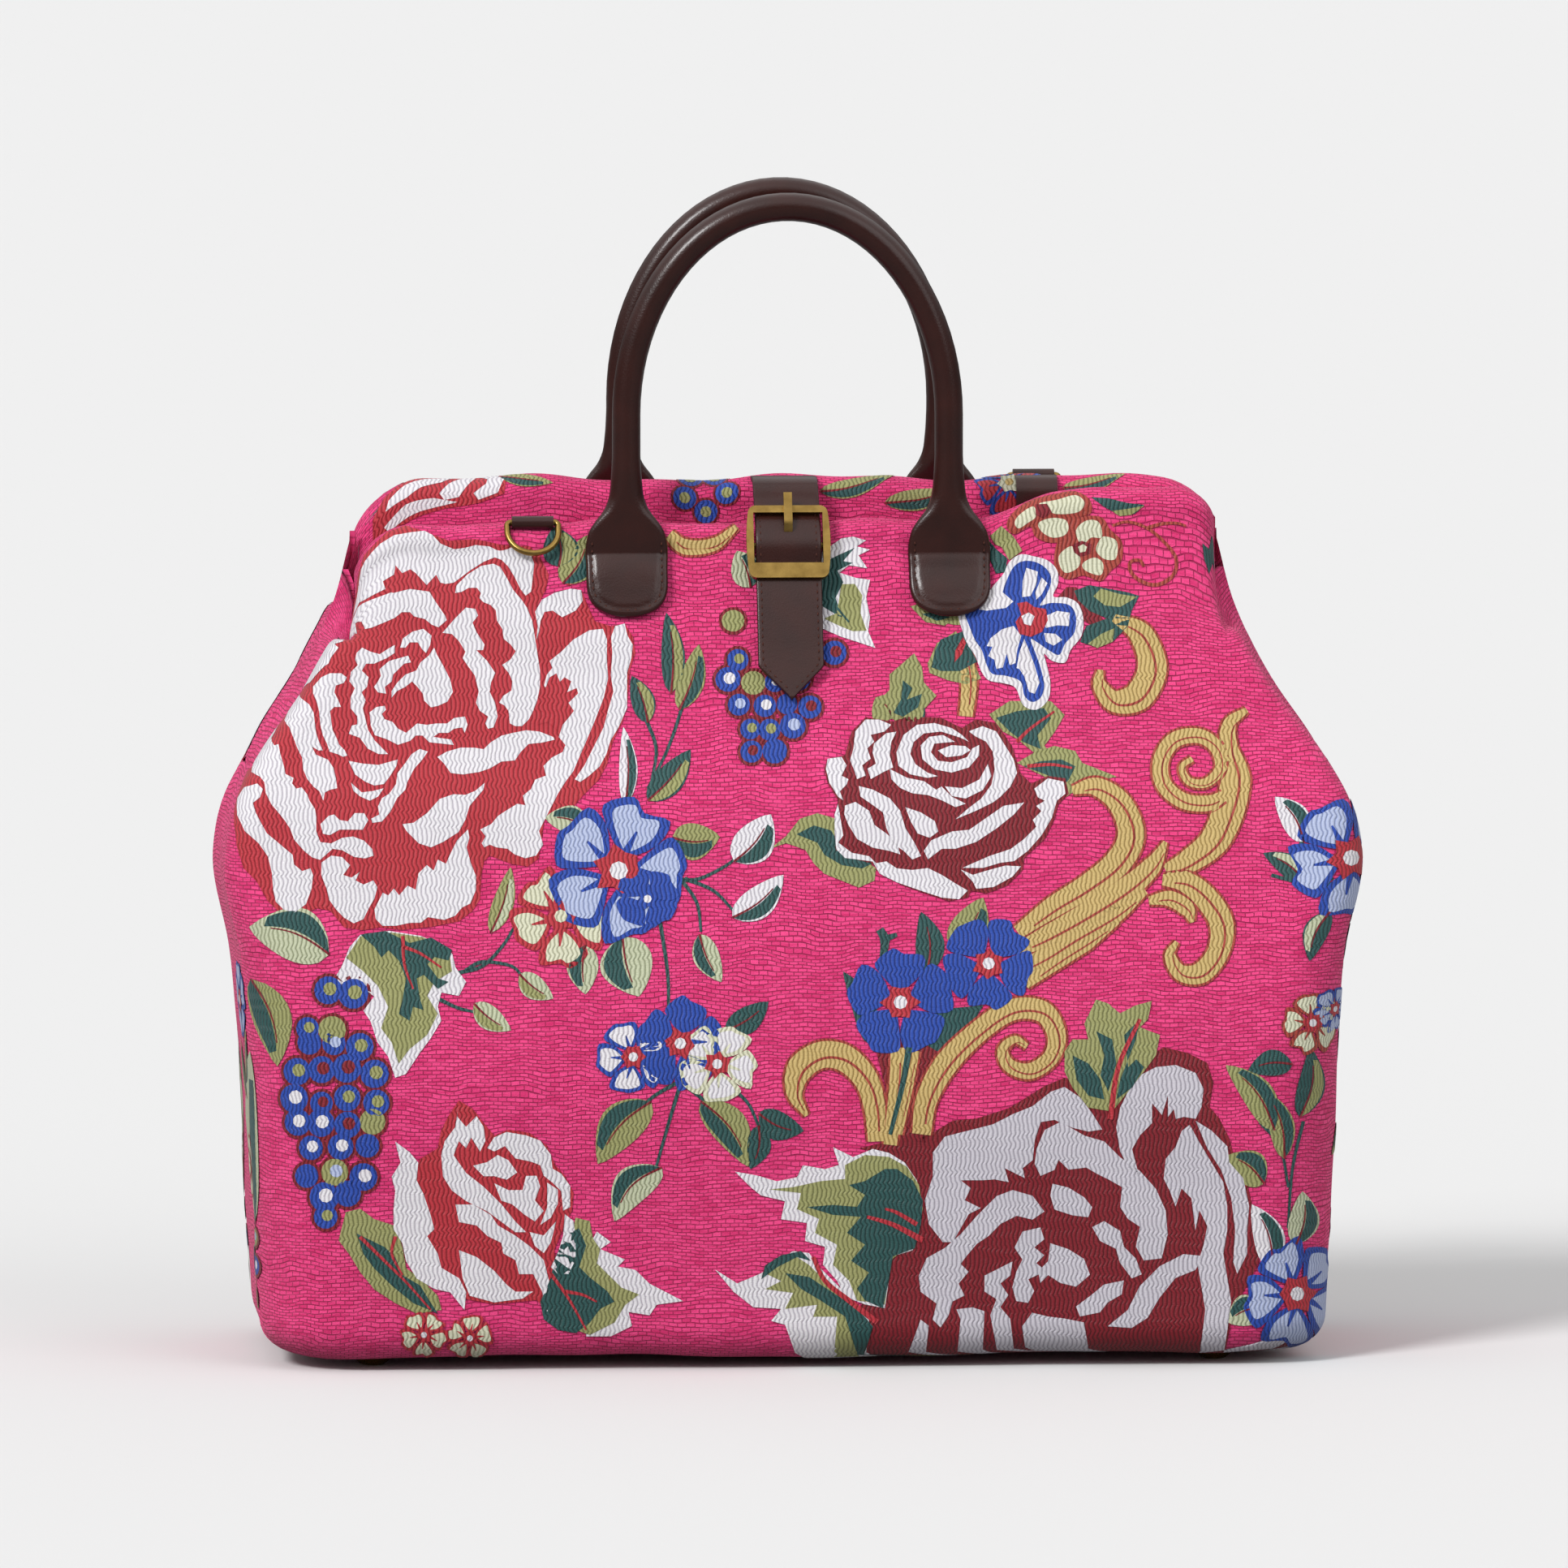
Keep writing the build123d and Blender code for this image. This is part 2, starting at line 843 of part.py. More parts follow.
for side, side_name in ((FRONT, "front"), (BACK, "back")):
    save(panel(side), f"{side_name}_panel")
    save(frame_strip(side), f"{side_name}_frame_strip")
    save(handle(side), f"{side_name}_handle")
    save(handle_core(side), f"{side_name}_handle_core")
    save(ring_loop(side, side * ring_place), f"{side_name}_ring_loop")
    save(d_ring(side, side * ring_place), f"{side_name}_d_ring")
    for end, end_name in ((-1, "left"), (1, "right")):
        save(handle_tab(side, end), f"{side_name}_handle_tab_{end_name}")

save(closure_strap(), "closure_strap")
save(buckle_frame(), "buckle_frame")
save(buckle_chape(), "buckle_chape")
save(buckle_prong(), "buckle_prong")
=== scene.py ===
"""Looks of the carpet bag: its cloth, print, leather and metal, laid over the CAD parts."""

import json
import math
import random

import bpy
import numpy as np
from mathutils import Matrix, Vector
from mathutils.geometry import delaunay_2d_cdt


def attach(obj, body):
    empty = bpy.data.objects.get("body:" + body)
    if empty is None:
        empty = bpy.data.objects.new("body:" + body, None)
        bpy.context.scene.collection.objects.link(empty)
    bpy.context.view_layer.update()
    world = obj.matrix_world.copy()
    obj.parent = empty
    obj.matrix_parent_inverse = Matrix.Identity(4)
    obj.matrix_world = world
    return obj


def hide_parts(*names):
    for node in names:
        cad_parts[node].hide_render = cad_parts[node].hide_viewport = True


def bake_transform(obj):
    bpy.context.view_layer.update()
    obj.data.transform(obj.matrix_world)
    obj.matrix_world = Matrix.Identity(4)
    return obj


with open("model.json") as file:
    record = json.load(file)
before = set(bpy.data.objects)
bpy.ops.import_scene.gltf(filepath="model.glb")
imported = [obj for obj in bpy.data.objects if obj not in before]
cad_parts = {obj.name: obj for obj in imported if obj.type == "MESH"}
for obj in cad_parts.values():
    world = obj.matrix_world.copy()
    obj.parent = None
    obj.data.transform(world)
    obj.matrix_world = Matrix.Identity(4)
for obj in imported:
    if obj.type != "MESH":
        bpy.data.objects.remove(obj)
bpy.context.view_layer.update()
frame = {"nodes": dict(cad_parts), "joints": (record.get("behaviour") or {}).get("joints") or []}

# Sizes are in millimetres and become metres when a mesh is made.
MM = 0.001
TO_MM = 1000
FRONT = -1
BACK = 1

# Camera: the photograph's angle, from slightly left of the middle and just above it
PHOTO_SIDE = 1932
PIXELS_PER_MM = 3.22
CAMERA_DISTANCE = 5000
CAMERA_AZIMUTH = math.radians(-4)
CAMERA_ELEVATION = math.radians(4)
CAMERA_AIM_HEIGHT = 215.8
SENSOR = 36

# Bag: each level has a height, half length, half depth, corner radius and flange lean
LEVELS = np.array(
    [
        (4.5, 202, 85, 34, 1),
        (60, 205.5, 86.5, 34, 1),
        (110, 208, 85.3, 34, 1),
        (155, 212.5, 76.3, 22, 4),
        (192, 218.5, 65.3, 14, 4),
        (212, 214.5, 58.8, 10, 4),
        (232, 203.5, 48.8, 8, 4),
        (254, 187.5, 39.3, 7, 4),
        (281, 173, 28.3, 7, 4),
        (305, 166, 17.8, 7, 4),
    ]
)
HALF_LENGTH = 1
BASE = 4.5
BASE_ROUNDING = 13
HINGE = 226
PANEL_TOP = {FRONT: 305, BACK: 321}
RIM_RADIUS = 7.75
RIM_INNER = 1.5
RIM_STRAIGHT = 2.25
RIM_FLAP = 14
FLANGE = 12
TOP_CORNER = {-1: 29, 1: 20}
SKIN = 2.2

# Rolled rim: where its corners round off, how it waves, and its rise at the front's right.
# A wave has a height, a length and a phase; a span has its start and its end.
CORNER_SPAN = (270, 303)
RIM_SPAN = (283, 308)
RIM_LIFT = 1.8
RIM_WAVES = ((1.1, 17, 1), (0.7, 7.3, 2))
RIM_RISE = 12.5
RIM_RISE_SPAN = (70, 104)

# Ripples of the soft cloth: their heights, and where they grow or calm on the way up
SWELL = 0.9
CRUMPLE = 0.35
CREASING = 0.55
CREASING_SPAN = (235, 290)
CALM_SPAN = (298, 312)
CALM_SHARE = 0.8

# Soft folds at both ends, between the flanges of the two panels
FOLD_FOOT = 228
FOLD_TOP = 300
FOLD_TUCK = 15
FOLD_COLUMNS = 9
FOLD_HEM_ROWS = 7
FOLD_PRINT = 30
FOLD_SAG = 1.5
FOLD_SAG_LENGTH = 9
TUCKED_IN = 1.3
CREASE_SHARE = 0.94

# Lining: its floor, its upper edge, and the foot of the strip behind the rim
LINING_FLOOR = 11.5
LINING_TOP = PANEL_TOP[FRONT] - 2
RIM_LINING_EDGE = PANEL_TOP[FRONT] - 5
RIM_LINING_LOW = PANEL_TOP[FRONT] - 7.0
LINING_STEP = 2


def smoothstep(low, high, value):
    """Share from 0 to 1 that rises softly between two values."""
    share = np.clip((np.asarray(value, float) - low) / (high - low), 0, 1)
    return share * share * (3 - 2 * share)


def hermite(table, column, height):
    """Smooth value of one column of a table at some heights, which its first column holds."""
    z, y = table[:, 0], table[:, column]
    slope = np.gradient(y, z)
    h = np.clip(np.asarray(height, float), z[0], z[-1])
    i = np.clip(np.searchsorted(z, h) - 1, 0, len(z) - 2)
    step = z[i + 1] - z[i]
    t = (h - z[i]) / step
    a = (1 + 2 * t) * (1 - t) ** 2 * y[i] + t * (1 - t) ** 2 * step * slope[i]
    return a + t * t * (3 - 2 * t) * y[i + 1] + t * t * (t - 1) * step * slope[i + 1]


def profile(side, v):
    """Height, draw-in and rim angle for distances up the cloth from the base line."""
    v = np.asarray(v, float)
    stretch = PANEL_TOP[side] - PANEL_TOP[FRONT]
    share = np.clip((v - HINGE) / (PANEL_TOP[FRONT] - HINGE), 0, 1)
    turn = np.clip((BASE + BASE_ROUNDING - v) / BASE_ROUNDING, 0, math.pi / 2)
    rim_start = PANEL_TOP[FRONT] + RIM_STRAIGHT
    angle = np.clip((v - rim_start) / RIM_RADIUS, 0, math.pi)
    flap = np.clip(v - rim_start - math.pi * RIM_RADIUS, 0, None)
    z = np.where(v < BASE + BASE_ROUNDING, BASE + BASE_ROUNDING * (1 - np.sin(turn)), v)
    z = np.minimum(z, rim_start) + stretch * share + RIM_RADIUS * np.sin(angle) - flap
    return z, BASE_ROUNDING * (1 - np.cos(turn)), angle


def section(v, inset):
    """Half depth, corner radius, flange angle and the corner's start at a height."""
    length, depth, radius, lean = (hermite(LEVELS, k, v) for k in (1, 2, 3, 4))
    angle = np.arctan2(lean, depth)
    run = radius * np.tan(math.pi / 4 - angle / 2)
    return depth - inset, radius, angle, length - inset - lean - run


def reaches(v, inset):
    """Arc lengths from the middle to the corner's start, its end, the flange and the crease."""
    depth, radius, angle, first = section(v, inset)
    second = first + radius * (math.pi / 2 - angle)
    corner_y = depth - radius + radius * np.sin(angle)
    crease = second + corner_y / np.cos(angle)
    flange = second + np.maximum(corner_y - (depth - FLANGE), 0) / np.cos(angle)
    return first, second, flange, crease


def ripples(side, u, v):
    """How far the soft cloth stands out from the plain form."""
    phase = 1.7 * side
    low = SWELL * np.sin(u / 31 + phase + 0.8 * np.sin(v / 43)) * np.sin(v / 37 + 0.6 * phase)
    fine = CRUMPLE * np.sin(u / 9.5 + v / 21 + phase) * np.sin(v / 12.5 - u / 40)
    upper = smoothstep(*CREASING_SPAN, v)
    folds = CREASING * upper * np.sin(v / 4.6 + 1.3 * np.sin(u / 26 + phase) + u / 37)
    return (low + fine + folds) * (1 - CALM_SHARE * smoothstep(*CALM_SPAN, v))


def cloth(side, u, v):
    """Points of the outer cloth of one side: u runs along it from the middle, v up it."""
    u = np.asarray(u, float)
    v = np.asarray(v, float)
    z, inset, rim_angle = profile(side, v)
    level = np.minimum(v, PANEL_TOP[FRONT])
    depth, radius, angle, _ = section(level, inset)
    first, second, _, crease = reaches(level, inset)
    reach = np.minimum(np.abs(u), crease)
    on_arc = np.clip((reach - first) / radius, 0, math.pi / 2 - angle)
    along = np.clip(reach - second, 0, None)
    x = np.minimum(reach, first) + radius * np.sin(on_arc) + along * np.sin(angle)
    y = depth - radius + radius * np.cos(on_arc) - along * np.cos(angle)
    on_flange = np.clip((y - (depth - FLANGE)) / FLANGE, 0, 1)
    roll = RIM_INNER + RIM_RADIUS * (1 + np.cos(rim_angle)) - (RIM_INNER + 2 * RIM_RADIUS)
    y = y + roll * on_flange
    x = np.sign(u) * x
    round_off = np.where(x < 0, TOP_CORNER[-1], TOP_CORNER[1])
    soft = np.clip(np.abs(x) - (LEVELS[-1, HALF_LENGTH] - round_off), 0, round_off)
    drop = round_off - np.sqrt(round_off**2 - soft**2)
    z = z - drop * smoothstep(*CORNER_SPAN, v)
    wave = sum(high * np.sin(x / length + phase * side) for high, length, phase in RIM_WAVES)
    rise = RIM_RISE * smoothstep(*RIM_RISE_SPAN, x) if side == FRONT else 0
    z = z + (rise + wave + RIM_LIFT) * smoothstep(*RIM_SPAN, v)
    return np.stack([x, side * y, z], -1)


def skin_points(side, u, v, lift=0.0):
    """Cloth points with ripples and a lift along the cloth's outward direction."""
    u, v = np.broadcast_arrays(np.asarray(u, float), np.asarray(v, float))
    step = 0.4
    middle = cloth(side, u, v)
    du = cloth(side, u + step, v) - cloth(side, u - step, v)
    dv = cloth(side, u, v + step) - cloth(side, u, v - step)
    normal = np.cross(du, dv) * -side
    length = np.linalg.norm(normal, axis=-1, keepdims=True)
    normal = normal / np.maximum(length, 1e-9)
    amount = ripples(side, u, v) + lift
    return middle + normal * np.asarray(amount)[..., None]


def make_mesh(name, points, faces, materials, face_material=None, uv=None):
    """Mesh object from points in millimetres."""
    mesh = bpy.data.meshes.new(name)
    mesh.from_pydata((np.asarray(points) * MM).tolist(), [], faces)
    for material in materials:
        mesh.materials.append(material)
    if face_material is not None:
        mesh.polygons.foreach_set("material_index", face_material)
    if uv is not None:
        layer = mesh.uv_layers.new(name="cloth")
        loops = np.zeros(len(mesh.loops), int)
        mesh.loops.foreach_get("vertex_index", loops)
        layer.data.foreach_set("uv", (np.asarray(uv)[loops] * MM).astype(np.float32).ravel())
    mesh.polygons.foreach_set("use_smooth", [True] * len(mesh.polygons))
    mesh.update()
    obj = bpy.data.objects.new(name, mesh)
    bpy.context.scene.collection.objects.link(obj)
    return obj


def grid_faces(rows, columns, flip, start=0):
    """Quads of a grid of points laid out row by row."""
    faces = []
    for i in range(rows - 1):
        for j in range(columns - 1):
            p = start + i * columns + j
            quad = (p, p + 1, p + columns + 1, p + columns)
            faces.append(quad[::-1] if flip else quad)
    return faces


def linear(hex_colour):
    """Linear colour of a hex sRGB colour."""
    parts = [int(hex_colour[i : i + 2], 16) / 255 for i in (1, 3, 5)]
    return tuple(p / 12.92 if p <= 0.04045 else ((p + 0.055) / 1.055) ** 2.4 for p in parts) + (1,)


# The colour sockets of a mix node, which share their names with its other sockets
MIX_A, MIX_B, MIX_RESULT = 6, 7, 2


class NodeTree:
    """A node tree under construction, with short calls for its nodes and links."""

    def __init__(self, tree):
        self.tree = tree

    def node(self, kind, inputs=None, **settings):
        made = self.tree.nodes.new(kind)
        for key, value in settings.items():
            setattr(made, key, value)
        for key, value in (inputs or {}).items():
            if isinstance(value, bpy.types.NodeSocket):
                self.tree.links.new(value, made.inputs[key])
            else:
                made.inputs[key].default_value = value
        return made

    def math(self, operation, a, b=0.0):
        return self.node("ShaderNodeMath", {0: a, 1: b}, operation=operation).outputs[0]

    def over(self, a, b, gain, most):
        """How far one value lies over another, times a gain, from 0 up to a limit."""
        value = self.math("MULTIPLY", self.math("SUBTRACT", a, b), gain)
        return self.math("MINIMUM", self.math("MAXIMUM", value, 0.0), most)

    def mix(self, share, a, b):
        sockets = {"Factor": share, MIX_A: a, MIX_B: b}
        return self.node("ShaderNodeMix", sockets, data_type="RGBA").outputs[MIX_RESULT]

    def noise(self, vector, scale=1.0, detail=2.0, distortion=0.0):
        made = self.node(
            "ShaderNodeTexNoise",
            {"Vector": vector, "Scale": scale, "Detail": detail, "Distortion": distortion},
        )
        return made.outputs["Fac"]


class Material(NodeTree):
    """A material built round one principled shader."""

    def __init__(self, name, roughness, metallic=0.0, specular=0.5):
        self.material = bpy.data.materials.new(name)
        self.material.use_nodes = True
        super().__init__(self.material.node_tree)
        self.shader = self.tree.nodes["Principled BSDF"]
        self.shader.inputs["Roughness"].default_value = roughness
        self.shader.inputs["Metallic"].default_value = metallic
        self.shader.inputs["Specular IOR Level"].default_value = specular

    def colour(self, socket):
        self.tree.links.new(socket, self.shader.inputs["Base Color"])

    def bump(self, height, strength, distance):
        made = self.node(
            "ShaderNodeBump", {"Height": height, "Strength": strength, "Distance": distance}
        )
        self.tree.links.new(made.outputs[0], self.shader.inputs["Normal"])

    def cloth_place(self, along=1.0, up=1.0):
        """Place on the cloth in millimetres, times how fine a noise is along and up it."""
        place = self.node("ShaderNodeUVMap", uv_map="cloth").outputs[0]
        stretch = {0: place, 1: (TO_MM * along, TO_MM * up, 1)}
        return self.node("ShaderNodeVectorMath", stretch, operation="MULTIPLY").outputs[0]

    def solid_place(self):
        """Place in the piece's own space, in millimetres."""
        place = self.node("ShaderNodeTexCoord").outputs["Object"]
        stretch = {0: place, 1: (TO_MM, TO_MM, TO_MM)}
        return self.node("ShaderNodeVectorMath", stretch, operation="MULTIPLY").outputs[0]


# Rows of the ground: how far they sway, and how much fuzz and patches of tone show
ROW_SWAY = 9.0
PATCH_SHARE = 0.35
FUZZ_SHARE = 0.3
FUZZ_HEIGHT = 0.5

# Ribs of the satin: how close they lie, how often and how far they sway, how far the sway
# wanders, how narrow the grooves are, and how much of the fine threads shows
RIB_RATE = 3.7
RIB_SWAY_RATE = 1.15
RIB_SWAY = 0.42
RIB_WANDER = 14.0
RIB_POWER = 0.35
THREAD_SHARE = 0.4
THREAD_HEIGHT = 0.6


def chenille(name, light, dark, shade):
    """Velvety ground woven in short flat stitches, with streaks along the rows."""
    m = Material(name, roughness=0.9, specular=0.15)
    m.shader.inputs["Sheen Weight"].default_value = 0.12
    m.shader.inputs["Sheen Roughness"].default_value = 0.5
    sway = m.noise(m.cloth_place(0.035, 0.05))
    shift = m.node("ShaderNodeCombineXYZ", {"X": 0.0, "Y": m.math("MULTIPLY", sway, ROW_SWAY)})
    moved = m.node(
        "ShaderNodeVectorMath", {0: m.cloth_place(), 1: shift.outputs[0]}, operation="ADD"
    )
    rows = m.node(
        "ShaderNodeTexBrick",
        {
            "Vector": moved.outputs[0],
            "Color1": linear(light),
            "Color2": linear(dark),
            "Mortar": linear(shade),
            "Scale": 1.0,
            "Mortar Size": 0.2,
            "Mortar Smooth": 0.6,
            "Bias": -0.25,
            "Brick Width": 3.3,
            "Row Height": 1.45,
        },
    )
    streak = m.noise(m.cloth_place(0.07, 0.9), detail=3.0)
    patch = m.noise(m.cloth_place(0.03, 0.05), detail=3.0)
    fuzz = m.noise(m.cloth_place(1.6, 2.4))
    dark_share = m.over(streak, 0.5, gain=4.5, most=0.75)
    streaked = m.mix(dark_share, rows.outputs["Color"], linear(dark))
    light_share = m.over(0.47, streak, gain=5.0, most=0.6)
    lit = m.mix(light_share, streaked, linear(light))
    cloudy = m.mix(m.math("MULTIPLY", patch, PATCH_SHARE), lit, linear(dark))
    m.colour(m.mix(m.math("MULTIPLY", fuzz, FUZZ_SHARE), cloudy, linear(light)))
    height = m.math("SUBTRACT", m.math("MULTIPLY", fuzz, FUZZ_HEIGHT), rows.outputs["Fac"])
    m.bump(height, strength=0.9, distance=0.0007)
    return m.material


def satin(name, colour, shade):
    """Smooth float threads that lie in wavy upright ribs."""
    m = Material(name, roughness=0.5, specular=0.35)
    m.shader.inputs["Sheen Weight"].default_value = 0.1
    split = m.node("ShaderNodeSeparateXYZ", {0: m.cloth_place()})
    wander = m.noise(m.cloth_place(0.05, 0.12))
    rise = m.math("MULTIPLY", split.outputs["Y"], RIB_SWAY_RATE)
    up = m.math("ADD", rise, m.math("MULTIPLY", wander, RIB_WANDER))
    sway = m.math("MULTIPLY", m.math("SINE", up), RIB_SWAY)
    across = m.math("MULTIPLY", m.math("ADD", split.outputs["X"], sway), RIB_RATE)
    rib = m.math("ADD", m.math("MULTIPLY", m.math("SINE", across), 0.5), 0.5)
    groove = m.math("POWER", rib, RIB_POWER)
    threads = m.noise(m.cloth_place(0.7, 3.4))
    tone = m.mix(groove, linear(shade), linear(colour))
    m.colour(m.mix(m.math("MULTIPLY", threads, THREAD_SHARE), tone, linear(shade)))
    height = m.math("ADD", groove, m.math("MULTIPLY", threads, THREAD_HEIGHT))
    m.bump(height, strength=0.7, distance=0.0006)
    return m.material


def leather(name, colour, shade, roughness):
    """Finished leather with a fine grain and faint clouds of tone."""
    m = Material(name, roughness, specular=0.3)
    m.shader.inputs["Coat Weight"].default_value = 0.22
    m.shader.inputs["Coat Roughness"].default_value = 0.17
    place = m.solid_place()
    clouds = m.noise(place, 0.09, detail=3.0)
    pores = m.node("ShaderNodeTexVoronoi", {"Vector": place, "Scale": 1.5})
    creases = m.noise(place, 0.9, detail=4.0)
    m.colour(m.mix(clouds, linear(shade), linear(colour)))
    height = m.math("ADD", pores.outputs["Distance"], creases)
    m.bump(height, strength=0.35, distance=0.00012)
    return m.material


def metal(name, colour, shade, roughness):
    """Brushed metal with darker clouds in its finish."""
    m = Material(name, roughness, metallic=1.0)
    place = m.solid_place()
    clouds = m.noise(place, 0.22, detail=4.0)
    lines = m.noise(place, 2.4, distortion=0.6)
    m.colour(m.mix(clouds, linear(shade), linear(colour)))
    rough = m.math("ADD", m.math("MULTIPLY", lines, 0.25), roughness - 0.12)
    m.tree.links.new(rough, m.shader.inputs["Roughness"])
    m.bump(lines, strength=0.3, distance=0.00008)
    return m.material


def weave(name, colour, shade):
    """Plain cotton or board face with a fine crossed thread."""
    m = Material(name, roughness=0.9, specular=0.2)
    place = m.solid_place()
    threads = m.node("ShaderNodeTexChecker", {"Vector": place, "Scale": 1.6}).outputs["Fac"]
    clouds = m.noise(place, 0.05, detail=3.0)
    share = m.math("ADD", m.math("MULTIPLY", threads, 0.25), m.math("MULTIPLY", clouds, 0.5))
    m.colour(m.mix(share, linear(colour), linear(shade)))
    m.bump(threads, strength=0.3, distance=0.0002)
    return m.material


GROUND = chenille("pink_chenille", "#F7508F", "#C31E5C", "#7C0B38")
SATINS = {
    "white": satin("white_satin", "#F1EFF1", "#BDB6C2"),
    "grey": satin("grey_satin", "#DAD6DE", "#A39DAA"),
    "red": satin("red_satin", "#C93340", "#7E0F1C"),
    "wine": satin("wine_satin", "#8E1526", "#4E0610"),
    "blue": satin("blue_satin", "#2450B8", "#10246A"),
    "pale_blue": satin("pale_blue_satin", "#C3CDE8", "#7F8DBB"),
    "green": satin("green_satin", "#2A5A58", "#12302F"),
    "olive": satin("olive_satin", "#A7A86E", "#6B6C3C"),
    "pale_green": satin("pale_green_satin", "#CDD2B4", "#8D9470"),
    "gold": satin("gold_satin", "#D8BD7C", "#9C7C3C"),
    "rust": satin("rust_satin", "#B5483A", "#6E1F18"),
    "cream": satin("cream_satin", "#E6E6CC", "#A8A888"),
}
HANDLE_LEATHER = leather("handle_brown_leather", "#37130D", "#200906", 0.34)
STRAP_LEATHER = leather("strap_brown_leather", "#38130D", "#220A07", 0.4)
STITCH = weave("brown_thread", "#5A352D", "#2A1410")
ANTIQUE = metal("antique_brass", "#AE8F50", "#5E4822", 0.33)
BRASS = metal("polished_brass", "#CDAA5E", "#8B6C30", 0.28)
STEEL = metal("zinc_plated_steel", "#B9BBBD", "#84878A", 0.35)
LINING = weave("wine_lining", "#5E303F", "#3A1C28")
BOARD = weave("stiff_grey_board", "#8C8278", "#5F574F")
CORD = weave("cotton_cord", "#D9CFBF", "#A89C88")


# The arc lengths along the cloth that reaches() gives, in its order
ARC_START, ARC_END, FLANGE_START, CREASE = range(4)

# How many rows and columns the skin's mesh has in each stretch
BOTTOM_ROWS, WALL_ROWS, RIM_ROWS, FLAP_ROWS = 9, 92, 23, 4
FLAT_COLUMNS, ARC_COLUMNS, SIDE_COLUMNS = 97, 8, 4

# The ripples end on the way to the crease, and points this close together share a row
CALM_FROM = 0.6
SAME_ROW = 0.01


def cloth_reach(v, which):
    """One of the four arc lengths of the outline at a distance up the cloth."""
    inset = profile(FRONT, v)[1]
    return reaches(np.minimum(v, PANEL_TOP[FRONT]), inset)[which]


def cloth_rows():
    """Distances up the cloth at which the skin has its rows."""
    foot = BASE + BASE_ROUNDING
    bottom = np.linspace(BASE + BASE_ROUNDING * (1 - math.pi / 2), foot, BOTTOM_ROWS)
    wall = np.linspace(foot, PANEL_TOP[FRONT], WALL_ROWS)[1:]
    start = PANEL_TOP[FRONT] + RIM_STRAIGHT
    rim = np.linspace(PANEL_TOP[FRONT], start + math.pi * RIM_RADIUS, RIM_ROWS)[1:]
    flap = start + math.pi * RIM_RADIUS + np.linspace(0, RIM_FLAP, FLAP_ROWS)[1:]
    return np.concatenate([bottom, wall, rim, flap])


def centre_columns(v):
    """Places along the cloth between the two flanges at one height."""
    first, second, flange = (
        float(cloth_reach(v, which)) for which in (ARC_START, ARC_END, FLANGE_START)
    )
    flat = np.linspace(-first, first, FLAT_COLUMNS)
    arc = np.linspace(first, second, ARC_COLUMNS)[1:]
    side = np.linspace(second, flange, SIDE_COLUMNS)[1:]
    right = np.concatenate([arc, side])
    return np.concatenate([-right[::-1], flat, right])


def shell(side, name, material, rows, depth=0.0, floor=BASE, skip=1):
    """Sheet of one side, from under the base upward, some way in from the cloth's face."""
    u = np.array([centre_columns(v)[::skip] for v in rows])
    v = np.repeat(rows[:, None], u.shape[1], 1)
    points = [skin_points(side, u, v, -depth).reshape(-1, 3)]
    places = [np.stack([u, v], -1).reshape(-1, 2)]
    faces = grid_faces(len(rows), u.shape[1], side == BACK)
    low_rows = rows[rows <= FOLD_FOOT]
    flange = cloth_reach(low_rows, FLANGE_START)
    crease = cloth_reach(low_rows, CREASE)
    share = np.linspace(0, 1, FOLD_COLUMNS)
    for end in (-1, 1):
        ue = end * (flange[:, None] + (crease - flange)[:, None] * share)
        ve = np.repeat(low_rows[:, None], FOLD_COLUMNS, 1)
        start = sum(len(p) for p in points)
        calm = 1 - smoothstep(CALM_FROM, 1, share)
        lift = ripples(side, ue, ve) * (calm - 1) - depth
        points.append(skin_points(side, ue, ve, lift).reshape(-1, 3))
        places.append(np.stack([ue, ve], -1).reshape(-1, 2))
        flip = (side == BACK) == (end == 1)
        faces += grid_faces(len(low_rows), FOLD_COLUMNS, flip, start)
    points = np.concatenate(points)
    places = np.concatenate(places)
    under = np.flatnonzero(places[:, 1] < rows[0] + SAME_ROW)
    middle = points[under] * (1, 0, 1)
    middle[:, 2] = floor
    count = len(points)
    order = under[np.argsort(points[under, 0], kind="stable")]
    index = {int(p): count + i for i, p in enumerate(under)}
    for p, q in zip(order, order[1:]):
        p, q = int(p), int(q)
        quad = (p, index[p], index[q], q)
        faces.append(quad if side == FRONT else quad[::-1])
    points = np.concatenate([points, middle])
    below = places[under] - np.stack([np.zeros(len(under)), np.abs(points[under, 1])], -1)
    places = np.concatenate([places, below])
    obj = make_mesh(name, points, faces, [material], uv=places)
    obj.data.validate()
    return obj


def inside(side, name):
    """Lining on the inner face of one side, from the floor up to inside the rolled rim."""
    rows = cloth_rows()
    rows = rows[(rows > LINING_FLOOR) & (rows < LINING_TOP)][::LINING_STEP]
    return shell(side, name, LINING, rows, SKIN, LINING_FLOOR, LINING_STEP)


def rim_lining(side, name):
    """Lining that runs from the inner face of a panel up to the edge of its rolled rim."""
    u = centre_columns(RIM_LINING_EDGE)[::LINING_STEP]
    low = skin_points(side, u, np.full(len(u), RIM_LINING_LOW), -SKIN)
    flap_end = PANEL_TOP[FRONT] + RIM_STRAIGHT + math.pi * RIM_RADIUS + RIM_FLAP
    top = skin_points(side, u, np.full(len(u), flap_end))
    up = np.repeat([RIM_LINING_EDGE, flap_end], len(u))
    places = np.stack([np.concatenate([u, u]), up], -1)
    faces = grid_faces(2, len(u), side == FRONT)
    return make_mesh(name, np.concatenate([low, top]), faces, [LINING], uv=places)


